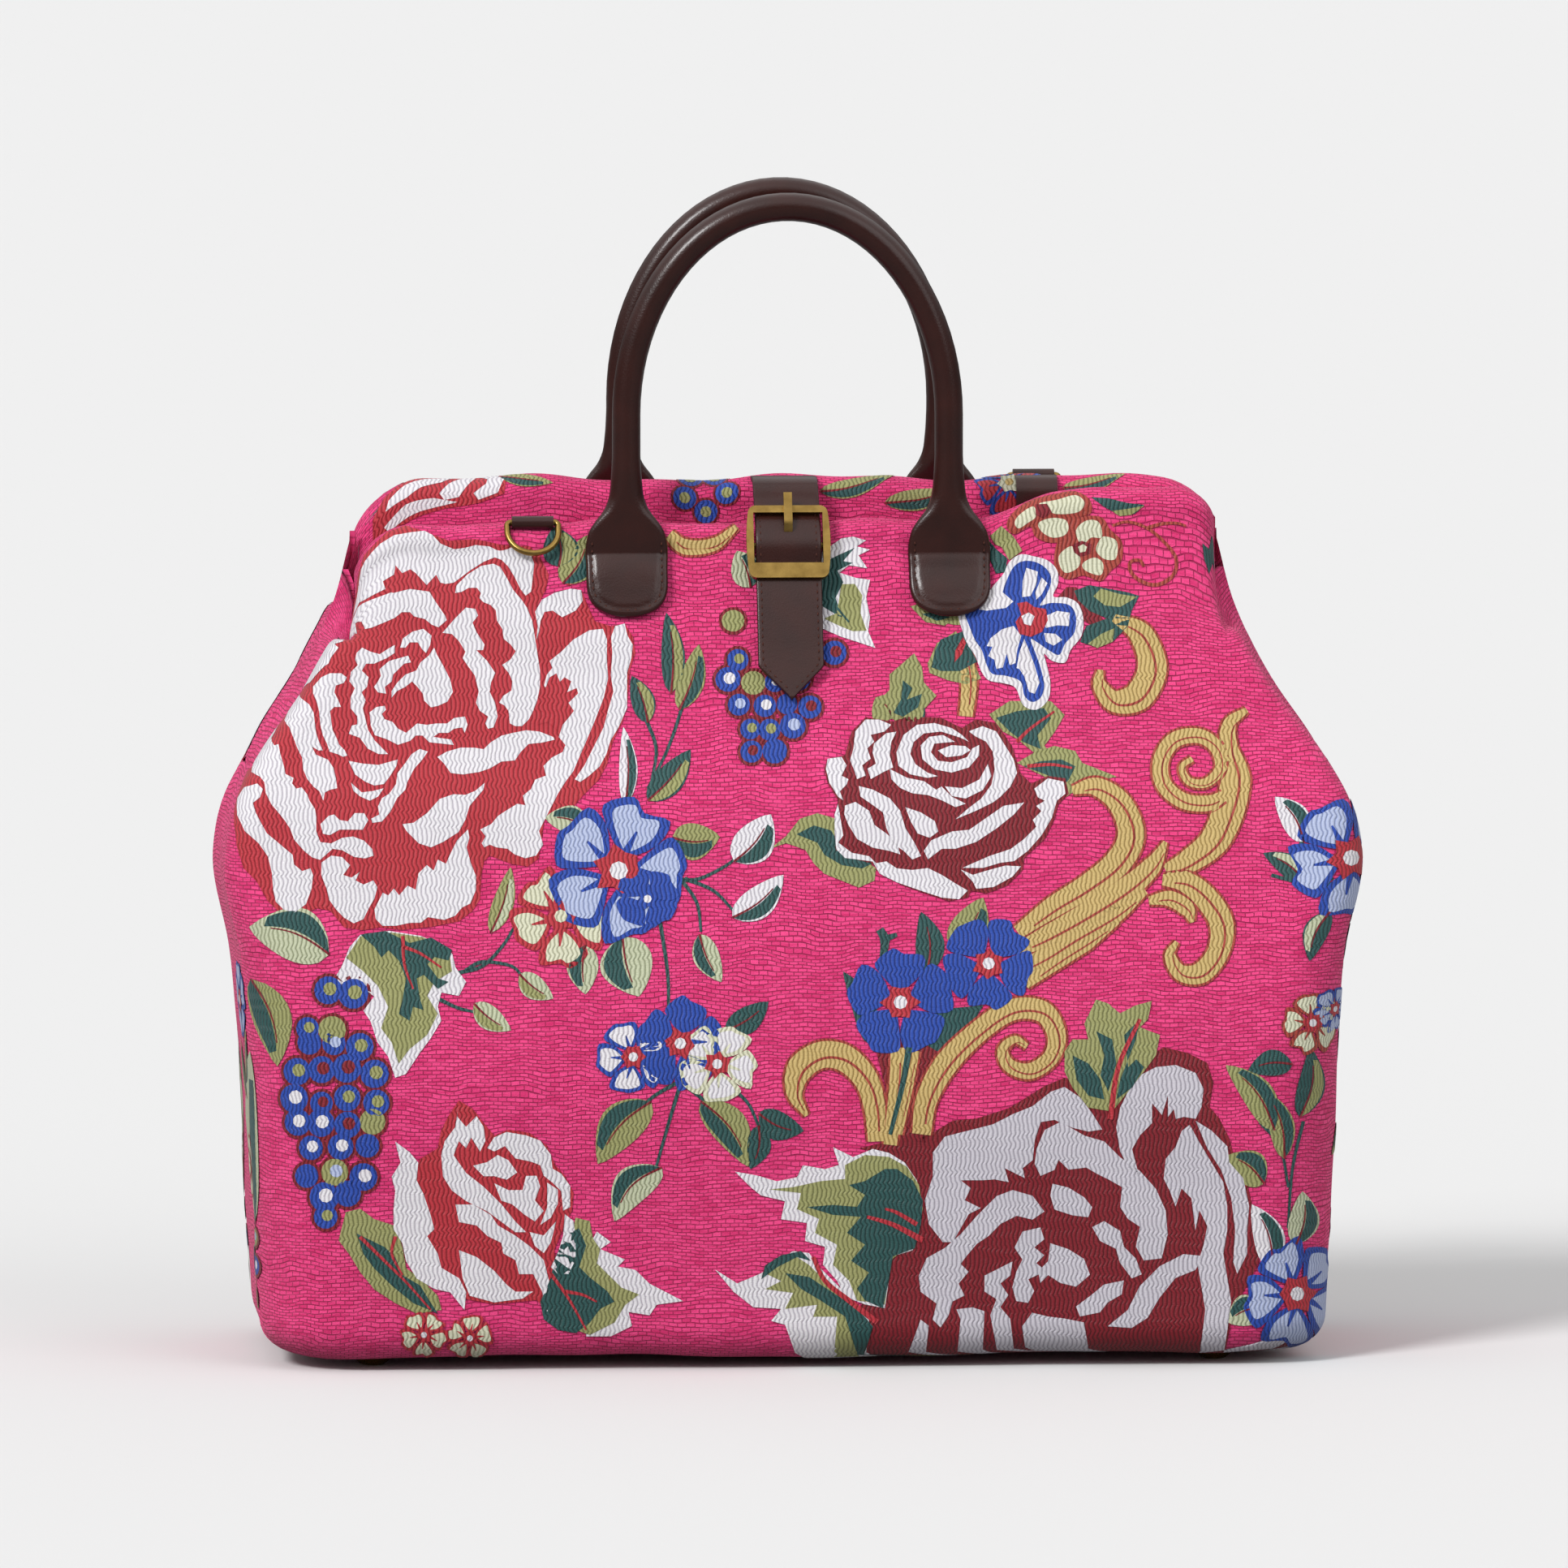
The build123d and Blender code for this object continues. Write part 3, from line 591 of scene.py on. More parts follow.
def end_fold_half(side, end, name):
    """Half of the soft fold at one end, from a panel's flange to the crease."""
    rows = cloth_rows()
    v = rows[(rows > FOLD_FOOT - FOLD_TUCK) & (rows < FOLD_TOP)]
    heights = profile(side, v)[0]
    flange = end * cloth_reach(v, FLANGE_START)
    edge = skin_points(side, flange, v)
    crease_x = hermite(LEVELS, HALF_LENGTH, HINGE + (heights - HINGE) * CREASE_SHARE)
    crease = np.stack([end * crease_x, np.zeros_like(heights), heights], -1)
    share = np.linspace(0, 1, FOLD_COLUMNS)[None, :, None]
    outer = edge[:, None] * (1 - share) + crease[:, None] * share
    droop = 1 + FOLD_SAG * np.sin(heights / FOLD_SAG_LENGTH)
    sag = np.sin(share[..., 0] * math.pi) * droop[:, None]
    tucked = TUCKED_IN * (v < FOLD_FOOT - 1)[:, None]
    outer[..., 0] -= end * (sag + tucked)
    inner = outer - np.array([end * SKIN, 0, 0])
    columns = outer.shape[1]
    flip = (side == BACK) == (end == 1)
    count = outer.shape[0] * columns
    faces = grid_faces(len(heights), columns, flip)
    faces += grid_faces(len(heights), columns, not flip, count)
    top = (len(heights) - 1) * columns
    for i in range(top, top + columns - 1):
        faces.append((i, i + 1, count + i + 1, count + i))
    quads = (len(heights) - 1) * (columns - 1)
    hem = FOLD_HEM_ROWS * (columns - 1)
    use = [0] * quads + [1] * (quads - hem) + [0] * (hem + columns - 1)
    u = np.abs(flange[:, None]) + np.linspace(0, FOLD_PRINT, columns)
    places = np.stack([end * u, np.repeat(v[:, None], columns, 1)], -1).reshape(-1, 2)
    points = np.concatenate([outer.reshape(-1, 3), inner.reshape(-1, 3)])
    return make_mesh(name, points, faces, [GROUND, LINING], use, np.concatenate([places, places]))


def blend_to_mouth(obj):
    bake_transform(obj)


SIDES = ((FRONT, "front"), (BACK, "back"))
ENDS = ((-1, "left"), (1, "right"))

for side, side_name in SIDES:
    mouth = f"{side_name}_mouth"
    outer = shell(side, f"{side_name}_carpet", GROUND, cloth_rows())
    blend_to_mouth(outer)
    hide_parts("carpet_body", f"{side_name}_panel")
    inner = inside(side, f"{side_name}_lining")
    blend_to_mouth(inner)
    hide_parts("lining")
    upper = rim_lining(side, f"{side_name}_mouth_lining")
    blend_to_mouth(upper)
    for end, end_name in ENDS:
        half = end_fold_half(side, end, f"end_fold_{end_name}_{side_name}_half")
        start, finish = (0, 0, 302 * MM), (0, side * 4.8 * MM, 304.1 * MM)
        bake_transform(half)
        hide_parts(f"end_fold_{end_name}")


FACE_SPREAD = 12


def face_out(side, x, z):
    """How far the cloth of one side stands out from the middle near a place, outermost."""
    top = PANEL_TOP[side]
    z = np.asarray(z, float)
    v = np.where(z > HINGE, HINGE + (z - HINGE) * (PANEL_TOP[FRONT] - HINGE) / (top - HINGE), z)
    v = np.minimum(v, PANEL_TOP[FRONT])
    around = (-FACE_SPREAD, 0, FACE_SPREAD)
    found = [np.abs(skin_points(side, x + s, v)[..., 1]) for s in around]
    return np.max(found, 0)


def tube_faces(rings, count):
    """Quads between rings of points, with fans of one face at both ends."""
    faces = []
    for i in range(rings - 1):
        for j in range(count):
            k = (j + 1) % count
            faces.append((i * count + j, i * count + k, (i + 1) * count + k, (i + 1) * count + j))
    faces.append(tuple(range(count))[::-1])
    faces.append(tuple((rings - 1) * count + j for j in range(count)))
    return faces


def joint_place(name):
    """Where a joint's axis passes, in millimetres."""
    for joint in frame["joints"]:
        if joint["name"] == name:
            return [TO_MM * value for value in joint["pos_m"]]
    raise ValueError(name)


# Handles, and the stitched tabs at their ends
HANDLE_HALF = 61.5
HANDLE_RADIUS = 5.4
HANDLE_STRAIGHT = {FRONT: 39.5, BACK: 28.5}
HANDLE_ARCH = 79
HANDLE_AROUND = 72
TAB_HALF = 15.5
TAB_LOW = {FRONT: 282, BACK: 298.4}
TAB_CURVE = 12.5
TAB_POWER = 2.5
TAB_TIP_HALF = 1.5
TAB_TIP_FADE = 1.5
TAB_TIP_THICK = 0.45
SEAT_GAP = 0.5
RIM_GAP = 0.8
TAB_FOOT = (0, 0.25, 0.7, 1.4, 2.3, 3.4)
LEG_START = 4.6
LEG_STEP = 1.3
LEG_END, UPPER_START = 14, 15
UPPER_ROWS = 9
ARCH_ROWS = 42
# Heights from the bend: the seat's top, where the rim is passed, the free part and the tab's end
SEAT_TOP = -13
RIM_FROM = -20
FREE_SPAN = (-10, 8)
TAB_END_SPAN = (-18, -6)
STITCHES_TOP = -8
# Stitch groove and puffed face of a tab; its stitches stand outward and a little upward
STITCH_INSET = 2.3
STITCH_SINK = 0.05
STITCH_LINE_PITCH = 1.5
TAB_UP = 0.3
GROOVE_DEPTH = 0.55
GROOVE_WIDTH = 0.65
PUFF = 0.7
PUFF_REACH = 9
EDGE_FADE = 0.6
# Height from the bend, half width, half thickness and squareness of a handle's leg
LEG = np.array(
    [
        (-38, 15.5, 1.6, 5),
        (-20, 15.5, 2.1, 5),
        (-9, 15.4, 2.6, 4.5),
        (-4, 14.0, 3.0, 4),
        (-1, 12.0, 3.4, 3.6),
        (3, 8.9, 4.1, 2.8),
        (7, 7.1, 4.8, 2.3),
        (14, 6.0, 5.3, 2),
        (24, HANDLE_RADIUS, HANDLE_RADIUS, 2),
    ]
)


def tab_edge_distance(side, across, z, half_width):
    """Distance from a tab's outline, for its stitch groove."""
    across = np.abs(across)
    below = np.maximum(TAB_LOW[side] + TAB_CURVE - z, 0) / TAB_CURVE
    reach = ((across / TAB_HALF) ** TAB_POWER + below**TAB_POWER) ** (1 / TAB_POWER)
    return np.where(below > 0, (1 - reach) * TAB_CURVE, half_width - across)


def leg_values(side, z, bend_z):
    """Half width, half thickness and squareness of a handle's leg at a height."""
    low = TAB_LOW[side]
    width, thick, power = (float(hermite(LEG, k, z - bend_z)) for k in (1, 2, 3))
    if z < low + TAB_CURVE:
        below = (low + TAB_CURVE - z) / TAB_CURVE
        curved = TAB_HALF * max(1 - below**TAB_POWER, 0) ** (1 / TAB_POWER)
        width = max(curved, TAB_TIP_HALF)
        full = math.sqrt(max(z - low, 0) / TAB_TIP_FADE)
        thick = thick * min(1, TAB_TIP_THICK + (1 - TAB_TIP_THICK) * full)
    return width, thick, power


def leg_middle(side, x, z, bend_z, bend_y):
    """How far out the middle of a handle's leg lies at a height."""
    thick = leg_values(side, z, bend_z)[1]
    seated = float(face_out(side, x, min(z, bend_z + SEAT_TOP))) + SEAT_GAP + thick
    over_rim = RIM_INNER + 2 * RIM_RADIUS + RIM_GAP + thick
    seated = max(seated, over_rim) if z > bend_z + RIM_FROM else seated
    start, end = FREE_SPAN
    free = float(smoothstep(bend_z + start, bend_z + end, z))
    return seated * (1 - free) + abs(bend_y) * free


def ring_points(centre, across, out, half_width, thick, power, count, relief=None):
    """One closed ring of a swept form, with a relief on its outer side if one is given."""
    angle = np.linspace(0, 2 * math.pi, count, endpoint=False)
    c, s = np.cos(angle), np.sin(angle)
    height = thick * np.sign(s) * (1 - np.abs(c) ** power) ** (1 / power)
    if relief is not None:
        height = height + np.where(s > 0, relief(half_width * c), 0)
    c_part = (half_width * c)[:, None] * across
    return centre + c_part + height[:, None] * out


def handle_mesh(side, side_name):
    """Rolled leather handle that flattens into a stitched tab at each end."""
    bend_y, bend_z = joint_place(f"{side_name}_handle_fold")[1:]
    low = TAB_LOW[side]
    spring = bend_z + HANDLE_STRAIGHT[side]
    heights = np.concatenate(
        [
            low + np.array(TAB_FOOT),
            np.arange(low + LEG_START, bend_z + LEG_END, LEG_STEP),
            np.linspace(bend_z + UPPER_START, spring, UPPER_ROWS),
        ]
    )
    outward = np.array([0, side, 0])
    tab_fades, tab_ends = (bend_z + z for z in TAB_END_SPAN)
    left, right = (
        [(x, side * leg_middle(side, x, z, bend_z, bend_y), z) for z in heights]
        for x in (-HANDLE_HALF, HANDLE_HALF)
    )
    angles = np.linspace(math.pi, 0, ARCH_ROWS)[1:-1]
    arch = [
        (HANDLE_HALF * math.cos(a), side * abs(bend_y), spring + HANDLE_ARCH * math.sin(a))
        for a in angles
    ]
    centres = np.array(left + arch + right[::-1])
    tangent = np.gradient(centres, axis=0)
    tangent /= np.linalg.norm(tangent, axis=1, keepdims=True)
    points = []
    for centre, along in zip(centres, tangent):
        out = outward - along * np.dot(outward, along)
        out = out / np.linalg.norm(out)
        across = np.cross(along, out)
        z = centre[2]
        if z < spring:
            width, thick, power = leg_values(side, z, bend_z)
        else:
            width, thick, power = HANDLE_RADIUS, HANDLE_RADIUS, 2

        def relief(lateral, z=z, width=width):
            edge = tab_edge_distance(side, lateral, z, width)
            tab = 1 - smoothstep(tab_fades, tab_ends, z)
            groove = GROOVE_DEPTH * np.exp(-(((edge - STITCH_INSET) / GROOVE_WIDTH) ** 2))
            puff = PUFF * np.clip(edge / PUFF_REACH, 0, 1) ** 0.5
            return tab * (puff - groove) * np.clip(edge / EDGE_FADE, 0, 1)

        ring = (centre, across, out, width, thick, power, HANDLE_AROUND, relief)
        points.append(ring_points(*ring))
    faces = tube_faces(len(points), HANDLE_AROUND)
    obj = make_mesh(f"{side_name}_handle_leather", np.concatenate(points), faces, [HANDLE_LEATHER])
    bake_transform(obj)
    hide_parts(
        f"{side_name}_handle",
        f"{side_name}_handle_tab_left",
        f"{side_name}_handle_tab_right",
    )


# A stitch is a flat little spindle with six points and eight faces
STITCH_PITCH = 2.9
STITCH_LENGTH = 1.05
STITCH_WIDTH = 0.42
STITCH_FLATNESS = 0.8
STITCH_SHAPE = np.array(
    [(1, 0, 0), (-1, 0, 0), (0, 1, 0), (0, -1, 0), (0, 0, 1), (0, 0, -1)], float
)
STITCH_FACES = [
    (0, 2, 4), (2, 1, 4), (1, 3, 4), (3, 0, 4), (2, 0, 5), (1, 2, 5), (3, 1, 5), (0, 3, 5)
]


def resample(points, pitch):
    """Evenly spaced points along an open line."""
    points = np.asarray(points, float)
    lengths = np.concatenate([[0], np.cumsum(np.linalg.norm(np.diff(points, axis=0), axis=1))])
    count = max(int(round(lengths[-1] / pitch)), 1)
    at = np.linspace(0, lengths[-1], count + 1)
    return np.stack([np.interp(at, lengths, points[:, k]) for k in range(points.shape[1])], -1)


def stitches(name, lines, out, body):
    """Rows of short thread stitches along lines that lie on a piece."""
    points, faces = [], []
    for line in lines:
        places = resample(line, STITCH_PITCH)
        for a, b in zip(places, places[1:]):
            along = (b - a) / np.linalg.norm(b - a)
            up = out - along * np.dot(out, along)
            up = up / np.linalg.norm(up)
            across = np.cross(up, along)
            shape = (
                STITCH_SHAPE[:, :1] * along * STITCH_LENGTH
                + STITCH_SHAPE[:, 1:2] * across * STITCH_WIDTH
                + STITCH_SHAPE[:, 2:] * up * STITCH_WIDTH * STITCH_FLATNESS
            )
            start = len(points) * len(STITCH_SHAPE)
            points.append((a + b) / 2 + shape)
            faces += [tuple(start + i for i in face) for face in STITCH_FACES]
    obj = make_mesh(name, np.concatenate(points), faces, [STITCH])
    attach(obj, body)


def tab_stitches(side, side_name):
    """Rows of stitching inside the edge of both tabs of one side."""
    bend_y, bend_z = joint_place(f"{side_name}_handle_fold")[1:]
    curve = TAB_CURVE - STITCH_INSET
    reach = TAB_HALF - STITCH_INSET
    middle = TAB_LOW[side] + TAB_CURVE
    top = bend_z + STITCHES_TOP
    flat = [(-reach, top), (-reach, middle)]
    for a in np.linspace(0, math.pi, 25):
        c, t = math.cos(a), math.sin(a)
        size = (abs(c) ** TAB_POWER + t**TAB_POWER) ** (-1 / TAB_POWER)
        flat.append((-reach * c * size, middle - curve * t * size))
    flat += [(reach, middle), (reach, top)]
    flat = resample(flat, STITCH_LINE_PITCH)
    lines = []
    for end, _ in ENDS:
        line = []
        for lateral, z in flat:
            x = end * HANDLE_HALF
            middle_out = leg_middle(side, x, z, bend_z, bend_y)
            out = middle_out + leg_values(side, z, bend_z)[1] - STITCH_SINK
            line.append((x + lateral, side * out, z))
        lines.append(line)
    away = np.array([0, side, TAB_UP])
    mouth = f"{side_name}_mouth"
    stitches(f"{side_name}_tab_stitches", lines, away, mouth)


CORNER_CUTS = 3


def rounded(points):
    """Line with its corners cut back, its ends kept."""
    points = np.asarray(points, float)
    for _ in range(CORNER_CUTS):
        a = points[:-1] * 0.75 + points[1:] * 0.25
        b = points[:-1] * 0.25 + points[1:] * 0.75
        inner = np.stack([a, b], 1).reshape(-1, points.shape[1])
        points = np.concatenate([points[:1], inner, points[-1:]])
    return points


STRAP_HALF = 12.5
STRAP_THICK = 1.1
STRAP_TIP = 13
STRAP_TOP = 332.6
STRAP_AROUND = 40
STRAP_PITCH = 1.2
STRAP_SQUARENESS = 9
STRAP_UP = 0.4
STRAP_POINT = 0.4
STITCHES_FROM = 15
STITCHED_WIDTH = 2.6
STRAP_STITCH_INSET = 1.9
TIP_STITCH_INSET = 2.4
# Route of each half of the closing strap as (y, z), from the middle of the mouth down
FRONT_ROUTE = [
    (0, STRAP_TOP),
    (-5, STRAP_TOP - 0.6),
    (-11, 326.6),
    (-16.9, 319.6),
    (-21.8, 314.5),
    (-24.6, 309.5),
    (-24.9, 304.5),
    (-25, 300.5),
    (-28.8, 292),
    (-33.8, 278),
    (-37.2, 268),
    (-43.6, 251),
]
BACK_ROUTE = [
    (0, STRAP_TOP),
    (9, STRAP_TOP),
    (16, STRAP_TOP - 1.6),
    (19.4, 326),
    (20.6, 318),
    (29.5, 292),
    (38.8, 266),
]


def strap_half(side, side_name, route):
    """Half of the closing strap, from the middle of the mouth down one side."""
    line = resample(rounded(route), STRAP_PITCH)
    tangent = np.gradient(line, axis=0)
    tangent /= np.linalg.norm(tangent, axis=1, keepdims=True)
    total = (len(line) - 1) * np.linalg.norm(line[1] - line[0])
    points, edges = [], {-1: [], 1: []}
    for i, ((y, z), (ty, tz)) in enumerate(zip(line, tangent)):
        left_over = total - i * total / (len(line) - 1)
        width = STRAP_HALF
        if side == FRONT and left_over < STRAP_TIP:
            width = max(STRAP_HALF * left_over / STRAP_TIP, STRAP_POINT)
        out = np.array([0, tz, -ty]) * -side
        if np.dot(out, (0, side, STRAP_UP)) < 0:
            out = -out
        across = np.array([1.0, 0, 0])
        centre = np.array([0, y, z])
        ring = (centre, across, out, width, STRAP_THICK, STRAP_SQUARENESS, STRAP_AROUND)
        points.append(ring_points(*ring))
        if width > STITCHED_WIDTH:
            inset = STRAP_STITCH_INSET if width == STRAP_HALF else TIP_STITCH_INSET
            for end in (-1, 1):
                place = centre + across * end * (width - inset) + out * (STRAP_THICK - STITCH_SINK)
                edges[end].append(place)
    obj = make_mesh(
        f"closure_strap_{side_name}_half",
        np.concatenate(points),
        tube_faces(len(points), STRAP_AROUND),
        [STRAP_LEATHER],
    )
    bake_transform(obj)
    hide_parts("closure_strap")
    return edges


for side, side_name in SIDES:
    handle_mesh(side, side_name)
    tab_stitches(side, side_name)
    strap_edges = strap_half(side, side_name, FRONT_ROUTE if side == FRONT else BACK_ROUTE)
    lines = [[p for p in strap_edges[end] if abs(p[1]) > STITCHES_FROM] for end in (-1, 1)]
    away = np.array([0, side, STRAP_UP])
    mouth = f"{side_name}_mouth"
    stitches(f"{side_name}_strap_stitches", lines, away, mouth)


def smooth(points, closed=True, per=5):
    """Smooth line through a few points, with some steps from each to the next."""
    p = np.asarray(points, float)
    if closed:
        p = np.concatenate([p[-1:], p, p[:2]])
    else:
        p = np.concatenate([2 * p[:1] - p[1:2], p, 2 * p[-1:] - p[-2:-1]])
    t = (np.arange(per) / per)[:, None]
    found = []
    for a, b, c, d in zip(p, p[1:], p[2:], p[3:]):
        found.append(0.5 * (2 * b + (c - a) * t + (2 * a - 5 * b + 4 * c - d) * t**2
                            + (3 * b - a - 3 * c + d) * t**3))
    if not closed:
        found.append(p[-2:-1])
    return np.concatenate(found)


def band(line, widths):
    """Outline of a stroke along a line, its width going through the given values."""
    line = np.asarray(line, float)
    half = np.interp(np.linspace(0, 1, len(line)), np.linspace(0, 1, len(widths)), widths) / 2
    along = np.gradient(line, axis=0)
    along /= np.maximum(np.linalg.norm(along, axis=1, keepdims=True), 1e-9)
    across = np.stack([-along[:, 1], along[:, 0]], -1) * half[:, None]
    return np.concatenate([line + across, (line - across)[::-1]])


def circle(centre, radius, count=14):
    """Outline of a round spot."""
    a = np.linspace(0, 2 * math.pi, count, endpoint=False)
    return np.asarray(centre) + radius * np.stack([np.cos(a), np.sin(a)], -1)


def polar(centre, angle, radius):
    """Place at an angle in degrees and a distance from a centre."""
    a = math.radians(angle)
    return centre[0] + radius * math.cos(a), centre[1] + radius * math.sin(a)


def numbers(text):
    """Outlines written as pairs of numbers, with a blank line between two outlines."""
    return [np.array(block.split(), float).reshape(-1, 2) for block in text.split("\n\n")]


# Petal outline of a blossom: shares of the petal's half angle and of the flower's radius
PETAL = (
    (-0.3, 0.2), (-0.85, 0.6), (-0.8, 0.9), (-0.2, 1.0), (0.1, 0.92), (0.65, 1.0), (0.9, 0.65),
    (0.3, 0.2),
)
PETAL_MIDDLE = 0.6
PETAL_FACE = 0.74
PETAL_WIDTH = 205
LEAF_STEPS = 13
VEIN_WIDTHS = (0.9, 0.4)
BERRY_STEP = 1.9
BERRY_EDGE = 1.2
SCROLL_EDGE = 1.9


class Sheet:
    """Part of the pattern drawn from its own top left corner: x right, y down, in units.

    Its shapes go into one of three lists: what the photograph shows, both ends of the bag,
    and what shows of the back rim. All sheets share one source of random numbers.
    """

    seen = []
    ends = []
    back_rim = []
    random = random.Random(7)

    def __init__(self, left, top, unit, into=seen, down=-1):
        self.corner = np.array([left, top])
        self.unit = unit
        self.into = into
        self.down = down

    def add(self, outline, colour, layer=0):
        place = self.corner + np.asarray(outline, float) * (self.unit, self.down * self.unit)
        self.into.append((place, colour, layer))

    def fill(self, text, colour, layer=0, round_it=False):
        for outline in numbers(text):
            self.add(smooth(outline) if round_it else outline, colour, layer)

    def stroke(self, points, widths, colour, layer=0):
        line = smooth(points, closed=False)
        self.add(band(line, np.array(widths) / self.unit), colour, layer)

    def leaf(self, base, tip, width, light="olive", dark="green", bend=0.06, layer=1, vein="wine"):
        """Leaf in two tones, split by its middle vein; the width is in millimetres."""
        base, tip = np.asarray(base, float), np.asarray(tip, float)
        along = tip - base
        length = np.linalg.norm(along)
        side = np.array([-along[1], along[0]]) / length
        t = np.linspace(0, 1, LEAF_STEPS)
        spine = base + np.outer(t, along) + np.outer(np.sin(t * math.pi) * bend * length, side)
        half = width / self.unit / 2 * np.sin(math.pi * t**0.8) ** 0.8
        left = spine + half[:, None] * side
        right = spine - half[:, None] * side
        self.add(np.concatenate([left, right[::-1]]), light, layer)
        inner = spine + (half * 0.1)[:, None] * side
        cut = spine + (half * 0.85)[:, None] * side
        self.add(np.concatenate([inner[:-2], cut[:-2][::-1]]), dark, layer + 1)
        self.add(band(spine[:-3], np.array(VEIN_WIDTHS) / self.unit), vein, layer + 2)

    def blossom(self, centre, radius, turn=0.0, petals=5, edge="blue", face="pale_blue",
                heart="red", eye="white", layer=2):
        """Open flower with edged petals round a ragged heart; the radius is in millimetres."""
        r = radius / self.unit
        wide = PETAL_WIDTH / petals
        for k in range(petals):
            a = turn + 360 * k / petals
            jogs = [self.random.uniform(0.93, 1.07) for _ in PETAL]
            for scale, colour, level in ((1.0, edge, layer), (PETAL_FACE, face, layer + 1)):
                outline = []
                for (share, reach), jog in zip(PETAL, jogs):
                    reach = PETAL_MIDDLE + (reach - PETAL_MIDDLE) * scale
                    outline.append(polar(centre, a + share * wide * scale, r * reach * jog))
                self.add(smooth(outline, per=3), colour, level)
            ray = [polar(centre, a, r * 0.25), polar(centre, a + 5, r * 0.6)]
            self.add(band(ray, (r * 0.12, r * 0.03)), edge, layer + 2)
        core = []
        for k in range(12):
            reach = 0.36 if k % 2 else 0.25
            core.append(polar(centre, turn + 30 * k, r * reach * self.random.uniform(0.9, 1.1)))
        self.add(core, heart, layer + 3)
        self.add(circle(centre, r * 0.13, 8), eye, layer + 4)

    def grapes(self, rows, radius, layer=1):
        """Bunch of berries: each row has its middle, height and count."""
        r = radius / self.unit
        jog = self.random.uniform
        faces = ("olive", "blue", "wine", "white", "olive", "pale_blue")
        for x, y, count in rows:
            for k in range(count):
                across = x + (k - (count - 1) / 2) * BERRY_STEP * r + jog(-0.2, 0.2) * r
                spot = (across, y + jog(-0.3, 0.3) * r)
                size = r * jog(0.82, 1.12)
                ring = "blue" if jog(0, 1) < 0.85 else "olive"
                face = self.random.choice(faces)
                glint = (spot[0] + 0.12 * r, spot[1] - 0.1 * r)
                self.add(circle(spot, size + BERRY_EDGE / self.unit), "wine", layer)
                self.add(circle(spot, size), ring, layer + 1)
                self.add(circle(glint, size * 0.48, 9), face, layer + 2)

    def scroll(self, points, widths, layer=1):
        """Gold leaf stroke with a rust outline and a thin inner line."""
        line = smooth(points, closed=False, per=8)
        wide = np.interp(np.linspace(0, 1, len(line)), np.linspace(0, 1, len(widths)), widths)
        wide = wide / self.unit
        edge = SCROLL_EDGE / self.unit
        self.add(band(line, wide + edge), "rust", layer)
        self.add(band(line, wide), "gold", layer + 1)
        inner = line[3:-3] + 0.12 * wide.max()
        self.add(band(inner, np.clip(wide[3:-3] * 0.1, 0, edge / 2)), "rust", layer + 2)


# Each sheet has the place of its corner in the picture plane and the size of its unit, in
# millimetres. Outlines were read off the photograph and keep only the points they need.
PHOTO = Sheet(-300, 515.3, 3.106)
BIG_ROSE = Sheet(-209.9, 316.5, 1.03)
MIDDLE = Sheet(-26.7, 245.1, 1.307)
LOW_RIGHT = Sheet(-26.7, 133.3, 1.505)
LOW_LEFT = Sheet(-209.9, 179.9, 1.327)
TOP_RIGHT = Sheet(0, 341.4, 1.454)

# These two are drawn on the cloth itself: both ends, and the inner face of the back rim
ENDS_SHEET = Sheet(0, 0, 1, Sheet.ends)
BACK_RIM = Sheet(-300, 319, 3.106, Sheet.back_rim, down=1)

